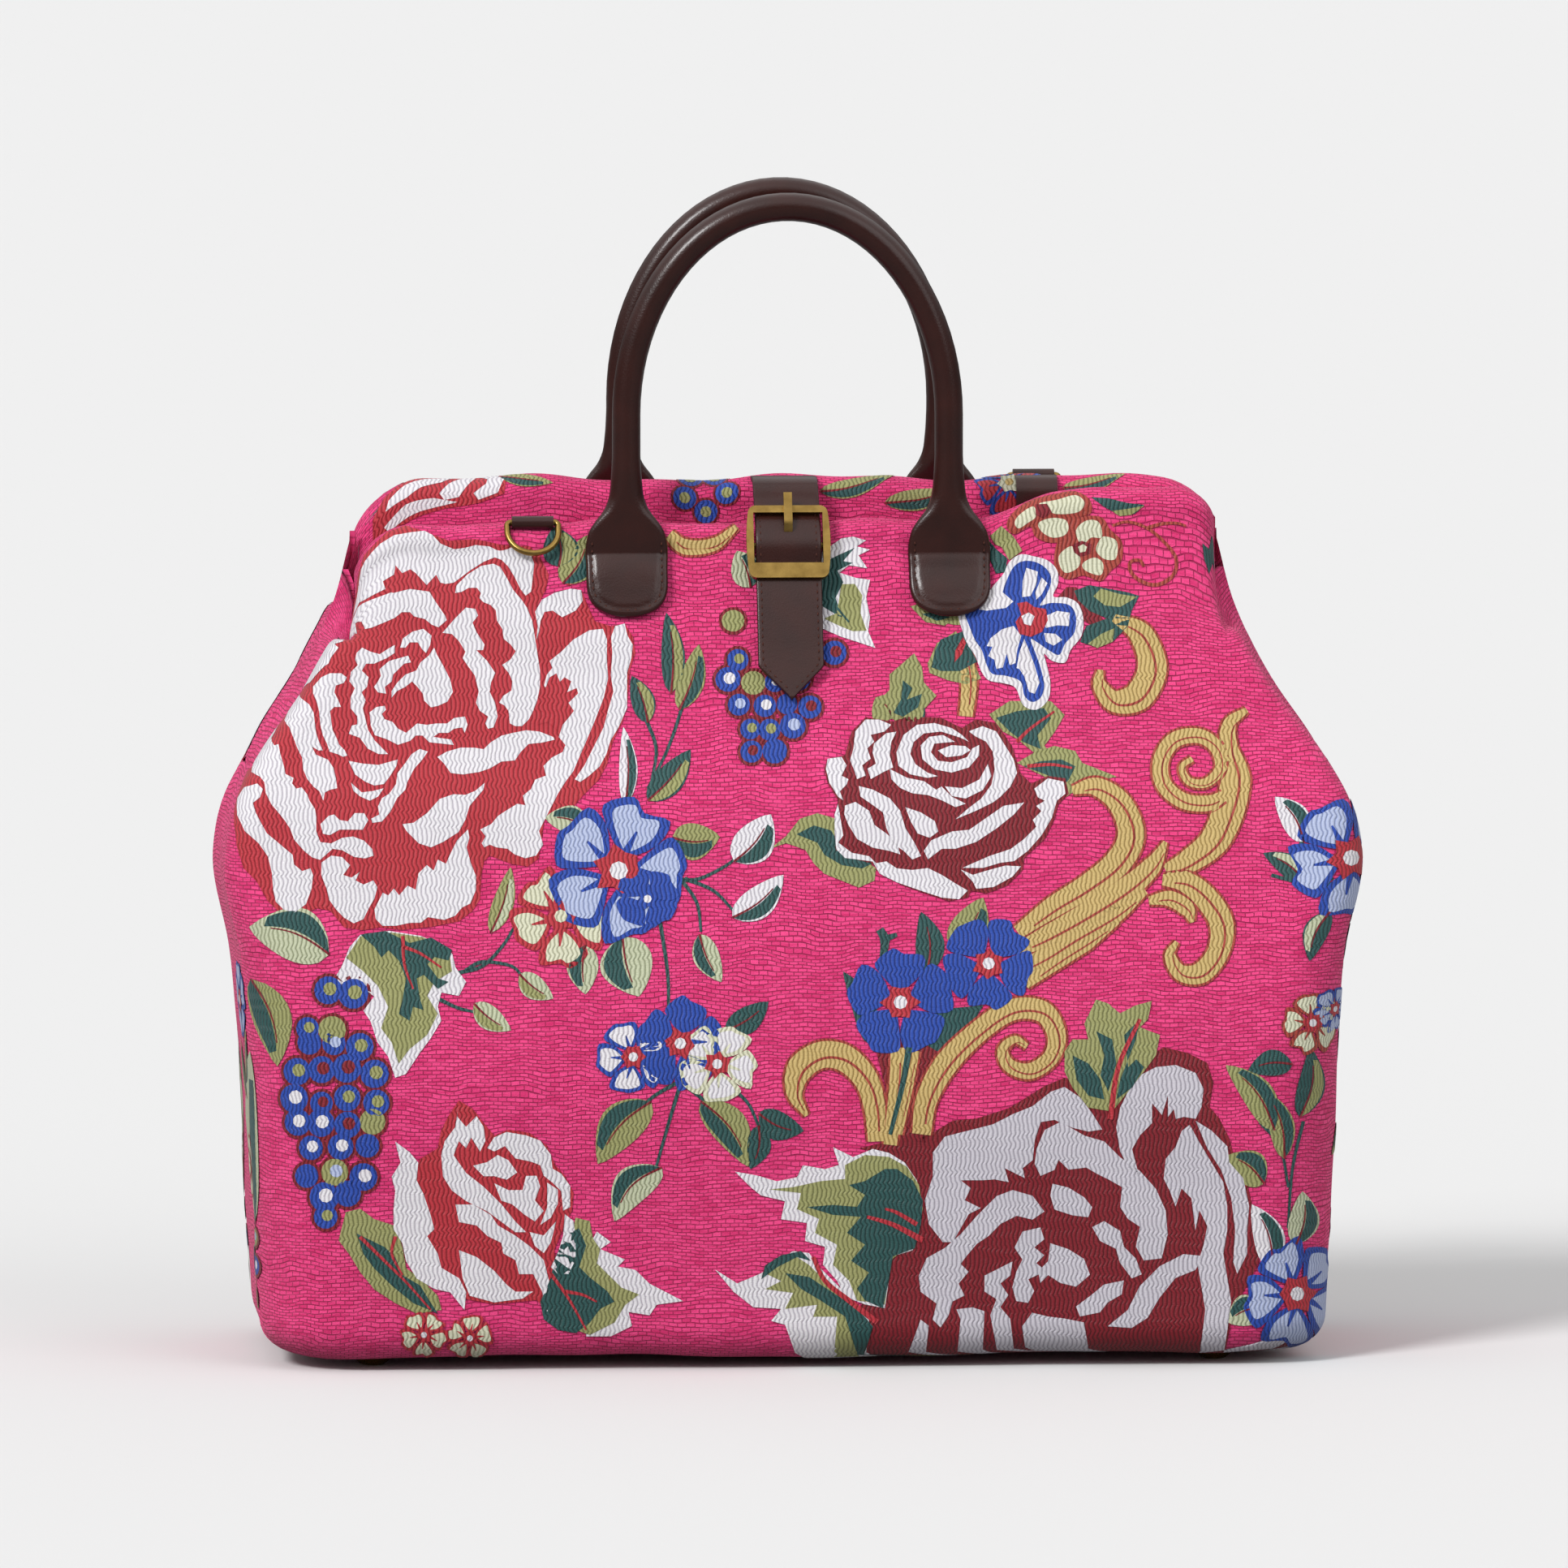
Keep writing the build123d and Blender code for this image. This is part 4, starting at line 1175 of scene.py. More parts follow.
# Large rose at the upper left: its red ground, then the white of its petals
BIG_ROSE.fill("""57 5 64 2.5 72 5 80 8 90 7.5 100 9.5 110 10 113.5 14 117 21 116 26 112.5 33 114 34
116 31 123 27.5 129 26.5 134 38 140 40 145 39 148 44 149 50 147 56 146.5 64 146 70 144 76
141 82 139 90 136 96 130 102 124 109 116 111 115 118 114 125 110 128 104 127 96 124 94 126
93 131 92.5 140 90 144 85 148 75 150 64 151 56 150 50 151 43 150 38 144 33 143 27 145.5
20 145 15 140 11 133 6 128 3.5 120 2.5 110 2 102 2.5 94 4 88 6 82 10 76 15 69 19 62 23 56
26 52 29 49 33 44 37 37 40 31 43 24 46 18 49 13 53 9""", "red", 0)
BIG_ROSE.fill("""46.5 22 48 17 52 12 55 9 60 6 66 5 71 4.5 74 6 77 9 82 11 86 10.5 90 9.5 95 10
99 12 103 10.5 107 10.5 110 13 111.5 17 111 22 110.5 27 108.5 28.5 106.5 26 104.5 22 102 18
99.5 15.5 97 14.5 93 16 88 19 84 22 82 23.5 79 24 77 23.5 75.5 20.5 72 24.5 68 20 66 18.5
63 20 60.5 17 60 20.5 56 23 57 26 53 28 49.5 30 45.5 31 44.5 31.5 45 27

82.5 27.5 83 24.5 87 20.5 92 17.5 96.5 16.8 99 18 101.5 22 104 26.5 107 30 109 33 111 38
112 44 113 50 114 56 114 62 113 67 111.5 71 110 74 107.5 76.5 105 76.5 103 75.5 102.5 71
101 69 99 68 100.5 65.5 103.5 63.5 103.8 60 102.5 57 100 54 103 52 105 49 103 46.5
100.5 44.5 100 41 98 38 97.5 34 95.5 32 93 31 91.5 29.5 92 27.5 90.5 25.5 87.5 25.5 85 27

44 33.5 52 30 60 27 66 25.7 70 25.5 73 27 75.5 31 79 36 79.5 37.5 76.5 40 74 39 71.5 37
69.5 36.5 67.5 36 66 34.5 63 34.5 60.5 36.5 57 38 52 40 49.5 40.5 48.5 38 46.5 38.5
46.5 42 42.5 42.5 41.5 45 38.5 46 40 47.5 37.5 51 36.5 53.5 35 54.5 32 58 30 60.5 27 61.5
24 63.5 23.5 60 25 56 28 51 31 46 35 40.5 40 36

19.5 63 15 70 10 77 6.5 82 5.5 86 7 90 9 93.5 12 95 13.5 97 14 101 16 105 19 108.5 21 111
23 114 24.5 118 28 122 31 124.5 34 125.5 38.5 121.5 42 122 46.5 124.5 50.5 125 53.5 124
53 121.5 50 118.5 46 117 42 117.5 38 119.5 34 119 32.5 115 32.5 110 32 107 30 104 29 101.5
27 99 25 99.5 23.5 97.5 24 95.5 21 94 20.5 91.5 19.5 88 19 86 18.5 83 17 83.5 15.5 81
16 79 15 76 16.5 74 17.5 70 19 66.5 22 62.5

20 68 24 65.5 27 66.5 29.5 68.5 31 71.5 31.5 75.5 32 79 33 82 34.5 85.5 33 85.5 30.5 84
32 87 36.5 89 38.5 92 39.5 96 40 99.5 37.5 100 35.5 101 35 104 33.5 100.5 31.5 99 29 96
27.5 92.5 27 88 25 84 23.5 80 22.5 77 20.5 74.5 19.5 71.5

31 62 34 58.5 37 57 41 57 43 58.5 42 60.5 39 61.5 38.5 64 40 67 41 69.5 38.5 69.5 37 71
37.5 75 38 78 39.5 81 40.5 83.5 42.5 85.5 43.5 87.5 42 88 40 87 37 86 36 83 34.5 80
33.5 76 33 71 32 67 31 64.5

46.5 49.5 48.5 47.5 51.5 49 55 50 58 48 60.5 46.5 60.5 49.5 57.5 51.5 53 53.5 50 53.5
48.5 56 51 58.5 50.5 62 48.5 64 50 67 49 70 50 74 51 78 53.5 82 56.5 85 58.5 87 55 87
51 85 48 81 44 79.5 45 76.5 47 76 47 73 44.5 70 44.5 66 46 62.5 44 60 44.5 56.5 47 54 46 52

62.5 47.5 63.5 44 67 41.5 71 40.5 74 43 73.5 46.5 72 49.5 70.5 48 69 45.5 66 45.5 64.5 47.5

73 50.5 75 47.5 76 50 78.5 54.5 81 59.5 82 64 80 67.5 76.5 69 74 69.5 71.5 67 71 64.5
69 62 67 60 64.5 62 61.5 63.5 59.5 66 59.5 63.5 61.5 60.5 64.5 57.5 68.5 56 70 53

55 55.5 58.5 52.5 62 51.5 65.5 50.5 66.5 53 64 53.5 62 55.5 60 57.5 59.5 60 57 62
57.5 64.5 54.5 64 53 62 54.5 60 55.5 58

51.5 71.5 54 69.5 57 69 57.5 70.5 56 72 57 74 60 75 62 77.5 65 79 69 75.5 72.5 76 76 75.5
80 75.5 82.5 73.5 86.5 73 87.5 76 86.5 79 85.5 77 82.5 77.5 80.5 79 77 79 75 80.5 78 81
81.5 81.5 82.5 83.5 78 83 73.5 82.5 71 80 68.5 80 66.5 82 62 83.5 58 81.5 53.5 80 52 76.5

78 42 82 37.5 86.5 33 90 33.5 91 36 89 38.5 90.5 42 93.5 46.5 93 48.5 90.5 48.5 94.5 52.5
97.5 57 96 60.5 95.5 64 97.5 68 98.5 73 97 77 95 77.5 94 75.5 95 73 92 71 90.5 68 91.5 64
90 58 87.5 54.5 85.5 51.5 86.5 49 84 45 81.5 42.5

76.5 88 80 86 85 84.5 90 84.5 93.5 85 96 82.5 100 80 104 79 109 78 114 78.5 119 80.5
119.5 81.5 115 82.5 110 83 107 86 105 89 100 89.5 96 92 92 93.5 86 94.5 81.5 94 79 90.5

44 89.5 49 90.5 55 91 62 89 61.5 91.5 59 95.5 57 98 53.5 98.5 50 97 46.5 94.5

45 97.5 49 101 53 100.5 57 99.5 55 102.5 52 104 48.5 102.5 46 100.5

70 85 73 86 71 89 68 92.5 65.5 97.5 65 100 62 103 59.5 108 56.5 111.5 53 112 52.5 110.5
55.5 109 55 106 56.5 103 59 101.5 61.5 98 62 94 65 90 67 87

94 97.5 90.5 100.5 87 102 82.5 101.8 77.5 103.5 73 108.5 68 112 64 112.5 65.5 115 70 119.5
74.5 121 79 119 84.5 115.5 87 111 88.5 106 91 103 93.5 100

3.5 103 6.5 99 11 97.5 13 99.5 12 102.5 9.5 104.5 10.5 108 12.5 112 14.5 115.5 17.5 118
21 121 24 123.5 24.5 127 27.5 129.5 30.5 128.5 31.5 131 31 136 29 141.5 25 144.5 21 143.5
18 140.5 17 136 16.5 130 15 124 11.5 119 6.5 114.5 4 109

34 112.5 37 109.5 39 109 41 111 44 111.5 46.5 108.5 50 108.5 51.5 111 49.5 114.5 45 114.5
41 114.5 37.5 116.5 35 116

34.5 126.5 38 124 42 124.5 45 127.5 42.5 131 45.5 132 48.5 130 47 133 50 134.5 53.5 133
55 135.5 54 139.5 52 143 50 147 46.5 148.5 43 146.5 40 143.5 37.5 140 36.5 136 34.5 131

54 143.5 57 137.5 59 138.5 61 136 63 138.5 66 135 69 136.5 70 130.5 73 127.5 75.5 129.5
77 125.5 80 127 82 122.5 84 118.5 88 114.5 88.5 117.5 87.5 121 89 126.5 91 131.5 91 136.5
89 141.5 86 143 83.5 146 79.5 147.5 76.5 147 73.5 146.5 71 148.5 67 148.5 62 149.5 57 149.5
54.5 147

122 49 126 45 132 41.5 137 41 138.5 45 138.5 52 139 59 137.5 66 134.5 74 132 80 129 87
126.5 93 123.5 97 121 101 119 105 116.5 110 114 115 115.5 120 113 124 109 125 105 123.5
102.5 121.5 98.5 121 96 120 94 121 93 119.5 94.5 117 92.5 114.5 96.5 112.5 99 109.5
102 107.5 106 105 109 105.5 108 102 111 99.5 112.5 96 116.5 94.5 115.5 91 118.5 88
122.5 86 123.5 83.5 121 80.5 122.5 76 125 73 126.5 71 124.5 68 128 64.5 127.5 62.5 124 64
125.5 60 123 58.5 121.5 60.5 120 57 117.5 58.5 116 62.5 115.5 61.5 116.5 57.5 118.5 55
117.5 52.5

141.5 40 145 39 146 43.5 148 47 147.5 52 146 57 146 63 146 70 143 77 140 82 138.5 87
136 91.5 132 95 129 97 127 96 130.5 91 134 84 137.5 77 139 71 141 64 140 58 140.5 50 140 44

112.5 45 113 40 112 34.5 114.5 30 119 27.5 125 26 129 26.5 129.5 30.5 127 34 124 35.5
122 36.5 118.5 34 115.5 34.5 114 38 113.5 42""", "white", 2)
BIG_ROSE.fill("""57.5 27 57 23.5 60.5 20.5 60.5 17 63 20 66 18.5 68 21 72 25 75.5 21 76.5 24.5
73 27 66 26 60 27.5

121 60.5 123 58.5 125.5 60 124 64 127.5 62.5 128 64.5 124.5 68 126.5 71 122 76 121.5 79
117 75 113 76 115 68 116 62""", "red", 3)

# Rose in the middle right
MIDDLE.fill("""33 16 38 15 40 8 44 3.8 52 5 56 3.6 66 3.9 72 7 76 4.5 82 5.5 86.5 12 89 20 92 23
97 20.8 102 21.5 103 26 100 29 98.5 34 96 39 90 44.5 89.5 48 85 52.5 79 54.8 74.5 54
73.5 56 68 57 62 55 55 52.5 50 50 47 46.5 41 45 35.5 44 35 38 35 33 36 28 33 23 32 19""",
            "wine", 2)
MIDDLE.fill("""33 16 37 15.5 38.5 18 37 21 39 22 38.5 23.5 36.5 25.5 37.5 28 36 27 33.5 23 32.5 19

41 8 44 4.5 48 4.5 51.5 6 49.5 8 45.5 9 46.5 11 44.5 13 45.5 16 43 18 44 21 41.5 22
40.5 19 39.5 16.5 40.5 13

46.5 11.5 50 8.5 53 8 51.5 11 51 15 52 18.5 49 20 45.5 22 44.5 19 47 17.5 46 14

53 14 55 9 59 6 64 5.5 69 7 72 9 74 11 71.5 9.8 66 8 61 8.5 58 11 57 14.5 58.5 17.5 62 20
65 21 62 21.5 57 20.5 53.5 18

60 12 62.5 9.5 66.5 9 70 11 67.5 11.2 64 11.5 63 14 65 16.5 69 17 73.5 15.5 75 13 77 12
77 15 74 18.5 69 20 64 19 60.5 16

65 13.5 69 12 73 12.3 74.5 13.5 72 15 67.5 15.5

74 8 78 6.5 82 8 84.5 12 87 16 88 20 86 24 83 27 81 28.5 76 31 70 33.5 73.5 30.5 77.5 27.5
80.5 23.5 81.5 19 81 14 79 11 76 9.5

51 19 56 21.5 61 22.5 64.5 25 66 24 69 27 73 29 70 30 66 28 62 26.5 57.5 26 54 24.5 51.5 22

67 24 72 24.5 77 22 79.5 17.5 80.5 21 78 25 73 27.5 69 26.8

42 24 46 25 51 27.5 54 31 55.5 36 58 40 60 44 57.5 45 55 42.5 52 40.5 50 36 49 31.5
45.5 29 42.5 27

38 29.5 41 28.5 45 31 46.5 35 50 37.5 53 40 54 43.5 51 42.5 46 41.5 41.5 39 39 35 37.8 32

55.5 30 60 31.5 64 34 65 37 62.5 38.8 59 37.5 57 34

90 28.5 87 32 82 36 76 40 70 42 66 42 62 45 60.8 42.5 63 39.5 69 37 74 36.5 79 33 84 29.5

93 24.5 97 21.5 101.5 22.5 102 26 99.5 28 98 33 95 38 91 42.5 87 45.5 83 46 78 47.5
72 47.5 80 44 86 42 90 39 93.5 35.5 92.5 33.5 95 31 93.5 29.5 96 28 94 27

71.5 48 75 49.5 80 48 84.5 46.8 89 47 86.5 50 81 53 76 53.5 75 51.5

36 40 40 43 45 44 47 46 50 45.5 53 47.5 57.5 48 62 47.5 66 49.5 70 52 73.5 54 71 56.5
66 56 60 54 53 51.5 48 49 46 45.5 38 44.5 35.5 42 35 37 35 32 36 29 37 35 37.5 38""",
            "white", 4)

# Dark rose at the lower right, its leaves and the leaf above it
LOW_RIGHT.fill("""38 39 44 37.5 50 35 55 33 60 30 66 29.5 74 27 79 24
83 21.5 88 19.5 91 21 95 24 100 27
103 23 104 19.5 107 15.5 113 12 119 13.5 124 16 125.5 21 124.5 27 127 30 129.5 35 131 41
134 46 135.5 53 135.5 60 137 66 134 72 130.5 78 128 93 38 93 36 78 42 68 42 50""",
               "wine", 0)
LOW_RIGHT.fill("""58 34 64 32.5 70 31 75 28.5 80 26.5 84.5 23 88 21.8 92 24.5
95 28.5 97.5 32.5 94 33 90 32
85.5 30 82 30.5 80.5 35 80 40 77.5 42 78 44.5 73 42 74 45.5 70.5 44.8 67.5 45 62 45 64.5 47
63 50 67 52 64 53.5 62 57 60 60.5 57.5 60.5 54 56 53 50 55 44 55 38

81 37 83 32.5 87 30.5 93 34 98 35.5 102 39.5 107 43 111 47.5 113.5 53 114 59 112.5 65
108 65.5 106 62 107 57 104 55 102 52 102.5 47 99 45 96 43.5 93.5 42 89 42.5 86.5 40
85.5 42.5 82 44 80.5 41

104 23 107 19 111 17 116 16.5 121 18.5 123 22.5 122.5 27 121 30 118 29.5 116 30 115.5 27.5
114 29.5 114 24 112.5 29 110 26 110 31 107 34 105 37.5 107 45 104 42 102 38 101 32 102 27

117.5 33 119.5 31.5 122 36 125 41 128 46 129 52 129 58 128 64 129 70 130 76 128 91.5
122 91.5 123.5 78 122.5 72 121.5 66.5 123 62 124 57 122 53 121 58 120 50 117.5 47.5 116 52
114.5 48 113 45 113.5 40 116 37

121 30.5 125 33 129 37 129.5 41 133 45 134.5 52 134 58 134 64 131.5 69 130.5 66 131 58
130 50 127.5 43 124 37.5

71 49 75 47.5 80 49 83 53 80 55 76 54 72 56 69 59 66 61 63.5 64 62 66 64 68 61.5 71 63 74
60 75.5 59 79 57 82 55 80 56 76 52 73 51.5 69 53.5 64.5 58 62 62 58.5 66 54

85 46 89 47 93 49.5 95 52 94 54.5 90 54 85.5 52.5 84.5 49

95 57 98 55.5 102 58 103 62 106 65 107.5 69 105 70 102 66 101 62.5 97 60.5

77.5 58 82 57 83 60 80.5 62 83 64 81 66 83.5 68 79 70 80.5 73 79 76 76 75.5 75 72 76 68
77.5 65 75.5 62

84.5 61 89 62.5 93 65 94.5 69 91 72 87 71 84 69 82 71 81.5 68 84 65.5

68 69 71 67.5 75 65.5 74.5 69 72 71 74 74 72 77 74.5 80 76 92 72 92 69.5 79 71 75 68 73

61 77.5 65 77 68 78 67.5 92 61 92 62 80

77.5 82 80 78.5 84 79.5 88 80 93 81 95 92 79 92

91 77 95 74 98 71.5 103 70.5 102.5 74 99 76 97 78.5 92 79.5

99 82 104 78 107 72 112 67 118 64 123 64.5 121 68 116 70 112 75 109 80 105 82.5

47.5 92 52 80 54 81.5 53 92""", "grey", 2)
LOW_RIGHT.fill("""30 36.5 35 39 40 37 44 38 48 40.5 51 45 52.5 52 51 58
50 62.5 45 64 44 70 43 77 38 76 33 74
31 70 27.5 66 28 61.5 23 60 23.5 55.5 17 54.5 18 50 12 48.5 9.5 46.5 5.5 42.5 11 43.5 16 45
21 44 22.5 41 28 42 31.5 41

0.5 67 6 70.5 12 68 16 65 20 62.5 24 63 26 66 33 73 39 80 38 91.8 22 91.8 18 81 14.5 80
17 77 10 76.5 5 72.5""", "white", 3)
LOW_RIGHT.fill("""33 41 38 38.5 44 39 48.5 41.5 51.5 46 52.5 52 50.5 60 44.5 65
43 76 36 75 34 70 30 66 31 61
25.5 58 26.5 54.5 21 52 22 48 14 47 20 46.5 27 45 33 44.5

13 68 17 65 21 64 24 66 28 70 34 76 38 81 36 91.5 30 91.5 31 79 25 79 26 76 18 77 20 73
13 72 17 70

100 28 94 27 90 22 88 18 88 13 90 10 94 10 93 6 96 0 99 1 102 3.5 106 1.5 110 0.5 109 5
107 7 112 9 111 14 108 18 104 23""", "olive", 4)
LOW_RIGHT.fill("""38 45 43 42 46 42 50 45 52.5 50 52 56 50.5 62 45 64
44 70 42.5 77 38 75 36 72 39 68 34.5 65
38 61 33.5 58 37 54 30 53.5 23.5 51.5 30 51 36 51.5 38 48.5 34 46

12 69.5 13 66 17 63.5 22 62.5 24.5 65 21 64 16 66.5

18 68 24 69 30 73 36 77 40 81.5 37 91 33 79 27 75 22 72

90 14 94 16 97 20 98 25 94 24 91 20

96 8 98 14 97 19 99 23 101 16 100 10

103 9 107 5 106 10 102 20 101 25 105 22 108 17 106 15 104 17""", "green", 5)
for row in (
    ([(52.5, 60), (45, 56), (38.5, 54)], (2.4, 1.2), "red", 6),
    ([(51, 56), (46, 53), (43, 52)], (1.8, 0.9), "red", 6),
    ([(25, 64), (28, 70), (34, 75), (41, 80.5)], (1.6, 2.2), "red", 6),
    ([(99.5, 30), (101.5, 17), (107, 5)], (2.2, 1.4), "red", 6),
):
    LOW_RIGHT.stroke(*row)

# Rosebud at the lower left, its leaves and the vine leaf above the grapes
LOW_LEFT.fill("""55 79 60 76 61 71 63 67 66 62.5 70 65 73.5 69.5 76 72.5 80 70.8 86 71.8 91 75.5
93.2 81 96 84 98.5 89 98 94 96 98 93 105 93.5 112 91.5 123 88 119.5 76 120.5 68 119 62 114
56 108 53 98 52 90 53 84""", "red", 2)
LOW_LEFT.fill("""48 74 52 77 54.5 80 54 85 56 89 58 95 59 99 57 101 60 106 61 110 66 113 68 117
67.5 122 63.5 117 59 116 54 113 51 108 50 103 47.5 99 47.5 93 48 88 47 84 49.5 80

66 63.5 65.5 67 68 70 71 67 73 70 73.5 74 72 77 69.5 73 68 76 66 74 64.5 78 68 83 73 87
78 92 82 97 85 100 82 100 78 97 74 94 68 91 64 88 61.5 84 61 78 62 74 65 70

74 76 76 73 79.5 71.5 85 72.5 89 74 92 78 92.5 82 95 83.5 97.5 87 97.5 93 95.5 94 95 88.5
92.5 86 90 84 89 81 86.5 80 82 79 79 75.5 76 77

70 81 74 80 77 78 80 79.5 82.5 83 79.5 85 76 84 73 84

76 86 80 88 84 88 85 84 88 84 89 87 87.5 91 90 94 87.5 97 84.5 95 81 92 78 91

91 86 94 88 94 92 92 96 89 98 91 93

65 92 70 92 75 95 77 98 82 101 86 104 90 108 91 112 92 116 91 123 89.5 117 87 112 83 112
82 108 78.5 106 78 103 74 101 71 98 66 97

86 100 90 101 93.5 97 92 103 90 106 87.5 104

66 105 71 107 76 111 79.5 115 82 117 87 117 84 119 76 120 69 118 67 113 66.5 109

96 95 98.5 97 99 102 99 108 97 112 94 112 92 110 94 106 95.5 101""", "white", 4)
LOW_LEFT.fill("""105 100 109 103 106 105 113 108 111 110 116 111 120 115 129.5 120 122 121
120 124 114 123 115 127 109 130 102 130 100 110

29 31 33 24 35 19 38 15.5 46 14.5 55 16 60 18 64 21 65 25 68 29 66 33 61 32 60 36 61 40
58 45 55 49 51 55 48 56 46 50 43 46 41 40 39 37 42 33 38 30 34 29""", "white", 1)
LOW_LEFT.fill("""34 94 38 93 42 96 48 98 50 104 51 110 55 113 60 118 61 122 54 123 48 120 42 116
38 111 35 106 32 102 33 98

99 96 103 97 104 102 106 105 105 109 108 112 112 116 117 118 113 121 110 126 103 129.5
99 128 101 122 97 115 96 108 98 102

34 22 38 16 47 15 56 16.5 63 20 64 26 59 29 57 33 60 38 57 44 52 48 49 52 47 46 44 42
46 36 43 30 39 26""", "olive", 3)
LOW_LEFT.fill("""37 100 41 102 45 104 48 107 50 112 55 115 58 120 60 123 53 120 47 115 42 110
39 106

96 101 100 99 102 104 100 110 103 113 108 117 110 120 106 122 103 126 99 129 94 128 90 125
89 120 92 113 93 108

38 15.5 45 14.5 52 18 58 16.5 64 20 63 23 59 22 57 24 60 28 63 29 60 31 56 27 54 28 55 34
56 37 53 36 52 40 49 38 50 34 51 28 49 23 46 20 44 22 42 19""", "green", 4)
for points in (
    [(38, 101), (44, 107), (51, 114), (58, 122)],
    [(48, 101), (47, 106), (50, 112)],
    [(92, 112), (97, 119), (102, 128)],
    [(96, 117), (101, 118), (105, 120)],
    [(50, 16), (50.5, 24), (53, 31)],
    [(50, 19), (55, 21), (61, 25)],
):
    LOW_LEFT.stroke(points, (1.4, 0.7), "red", 5)
LOW_LEFT.grapes([(33, 32, 2), (27, 43, 2), (31, 47, 3), (31, 54, 4), (31, 62, 4), (31, 69, 4),
                 (32, 76, 3), (31, 83, 3), (31, 89, 2), (29, 96, 1)], 5.2)
LOW_LEFT.blossom((56, 129), 9, 20, edge="red", face="cream", layer=5)
LOW_LEFT.blossom((69, 130), 9, 60, edge="red", face="cream", layer=5)

# Flowers of the middle: the large blue one, its pale neighbours, and the small groups
for row in (
    ((77.3, 99), (77, 89.5), 7, "white", "green", 0.05),
    ((80, 98.5), (85.2, 92.3), 11, "green", "olive", 0.05),
    ((83, 103), (88.8, 103), 14, "olive", "green", 0.1),
    ((73, 102), (67.5, 100.5), 11, "pale_green", "green", 0.1),
):
    PHOTO.leaf(*row)
PHOTO.blossom((69.5, 112.5), 19, 15, edge="red", face="cream", eye="cream")
PHOTO.blossom((76.5, 107), 27, -70, layer=5)
PHOTO.blossom((80, 110.5), 12, -40, petals=4, face="blue", heart="blue", layer=8)
for row in (
    ((72.5, 116), (72.5, 122), 12, "pale_green", "green"),
    ((77, 115), (79, 122.3), 20, "pale_green", "green"),
    ((61, 114.5), (63.4, 106.5), 8, "olive", "pale_green", 0.05),
):
    PHOTO.leaf(*row)
for points in (
    [(57, 119.3), (60, 118.5), (62.5, 116), (64, 113.5)],
    [(58, 119), (60, 118), (63.5, 118.5), (65, 120)],
    [(54.5, 122.3), (57, 123.5), (59, 124)],
    [(82, 107.5), (85.5, 108.2), (89, 106.8), (91.5, 105)],
    [(84.5, 108), (88, 109.5), (90.5, 112)],
    [(84, 108), (86, 111), (86.5, 114.5)],
    [(86, 81), (84.5, 86), (82.5, 92), (80, 97)],
    [(79.5, 88), (81, 92), (80.5, 96)],
    [(81.5, 113), (82.5, 120), (82.5, 126)],
    [(84, 133), (82.5, 138), (80.5, 145)],
    [(84, 132.5), (80, 135), (78, 138.5)],
    [(84.5, 133), (87, 135), (88, 136.5)],
    [(88.5, 132), (92, 135), (93.5, 138)],
):
    PHOTO.stroke(points, (1.5, 1.0), "green", 0)
for row in (
    ((64.5, 119.5), (68.6, 122.5), 9, "pale_green", "olive"),
    ((59, 123), (63.5, 126.3), 9, "pale_green", "olive"),
    ((90.5, 106), (95, 100.3), 15, "white", "green", 0.08),
    ((90.3, 112.8), (96.5, 107.7), 12, "white", "green", 0.08),
    ((86.3, 114.8), (89, 120.6), 10, "pale_green", "green"),
    ((82.8, 85.5), (82.2, 75.5), 9, "green", "olive", 0.05),
    ((83.8, 87.5), (86.2, 79.5), 10, "olive", "green", 0.05),
    ((80, 89), (78, 83.3), 9, "green", "olive", 0.05),
):
    PHOTO.leaf(*row)
PHOTO.blossom((78.3, 129.6), 14, 30, face="white")
PHOTO.blossom((84, 128), 17, -80, face="blue", layer=3)
PHOTO.blossom((88.5, 130.5), 15, 10, edge="cream", face="white", layer=4)
for row in (
    ((89.5, 126.5), (94.7, 123), 10, "green", "green"),
    ((80.5, 135), (74, 142.5), 16, "olive", "green", 0.1),
    ((86.5, 135), (92.3, 143), 14, "olive", "green", -0.1),
    ((81.8, 143), (76, 149.5), 14, "pale_green", "green", 0.15),
    ((93.5, 136.5), (99, 138.7), 11, "green", "green", 0.1),
    ((93.5, 138), (92.5, 143.3), 9, "green", "green", -0.1),
):
    PHOTO.leaf(*row)

# Leaves and grapes at the left edge
for row in (
    ((41.5, 117), (31.8, 113.6), 20, "pale_green", "green", 0.1),
    ((32, 120), (35.2, 130.5), 15, "olive", "green", -0.1),
    ((31, 150.5), (31.5, 129), 22, "pale_green", "green", -0.1),
):
    PHOTO.leaf(*row)
PHOTO.grapes([(31, 152, 1), (30.5, 155.5, 2), (30.8, 159, 1)], 4)

# Grapes and leaf behind the strap's end
PHOTO.leaf((92.5, 72.5), (90.8, 68), 12, "pale_green", "green")
PHOTO.grapes([(90.5, 77, 1), (91, 81.5, 1), (103, 80.5, 1), (94, 84, 4), (95.5, 87, 4), (95, 90, 3),
              (94, 92.8, 2)], 4.6)

# Leaf beside the right tab
PHOTO.leaf((120, 75), (115.5, 76.5), 13, "olive", "pale_green", 0.1)

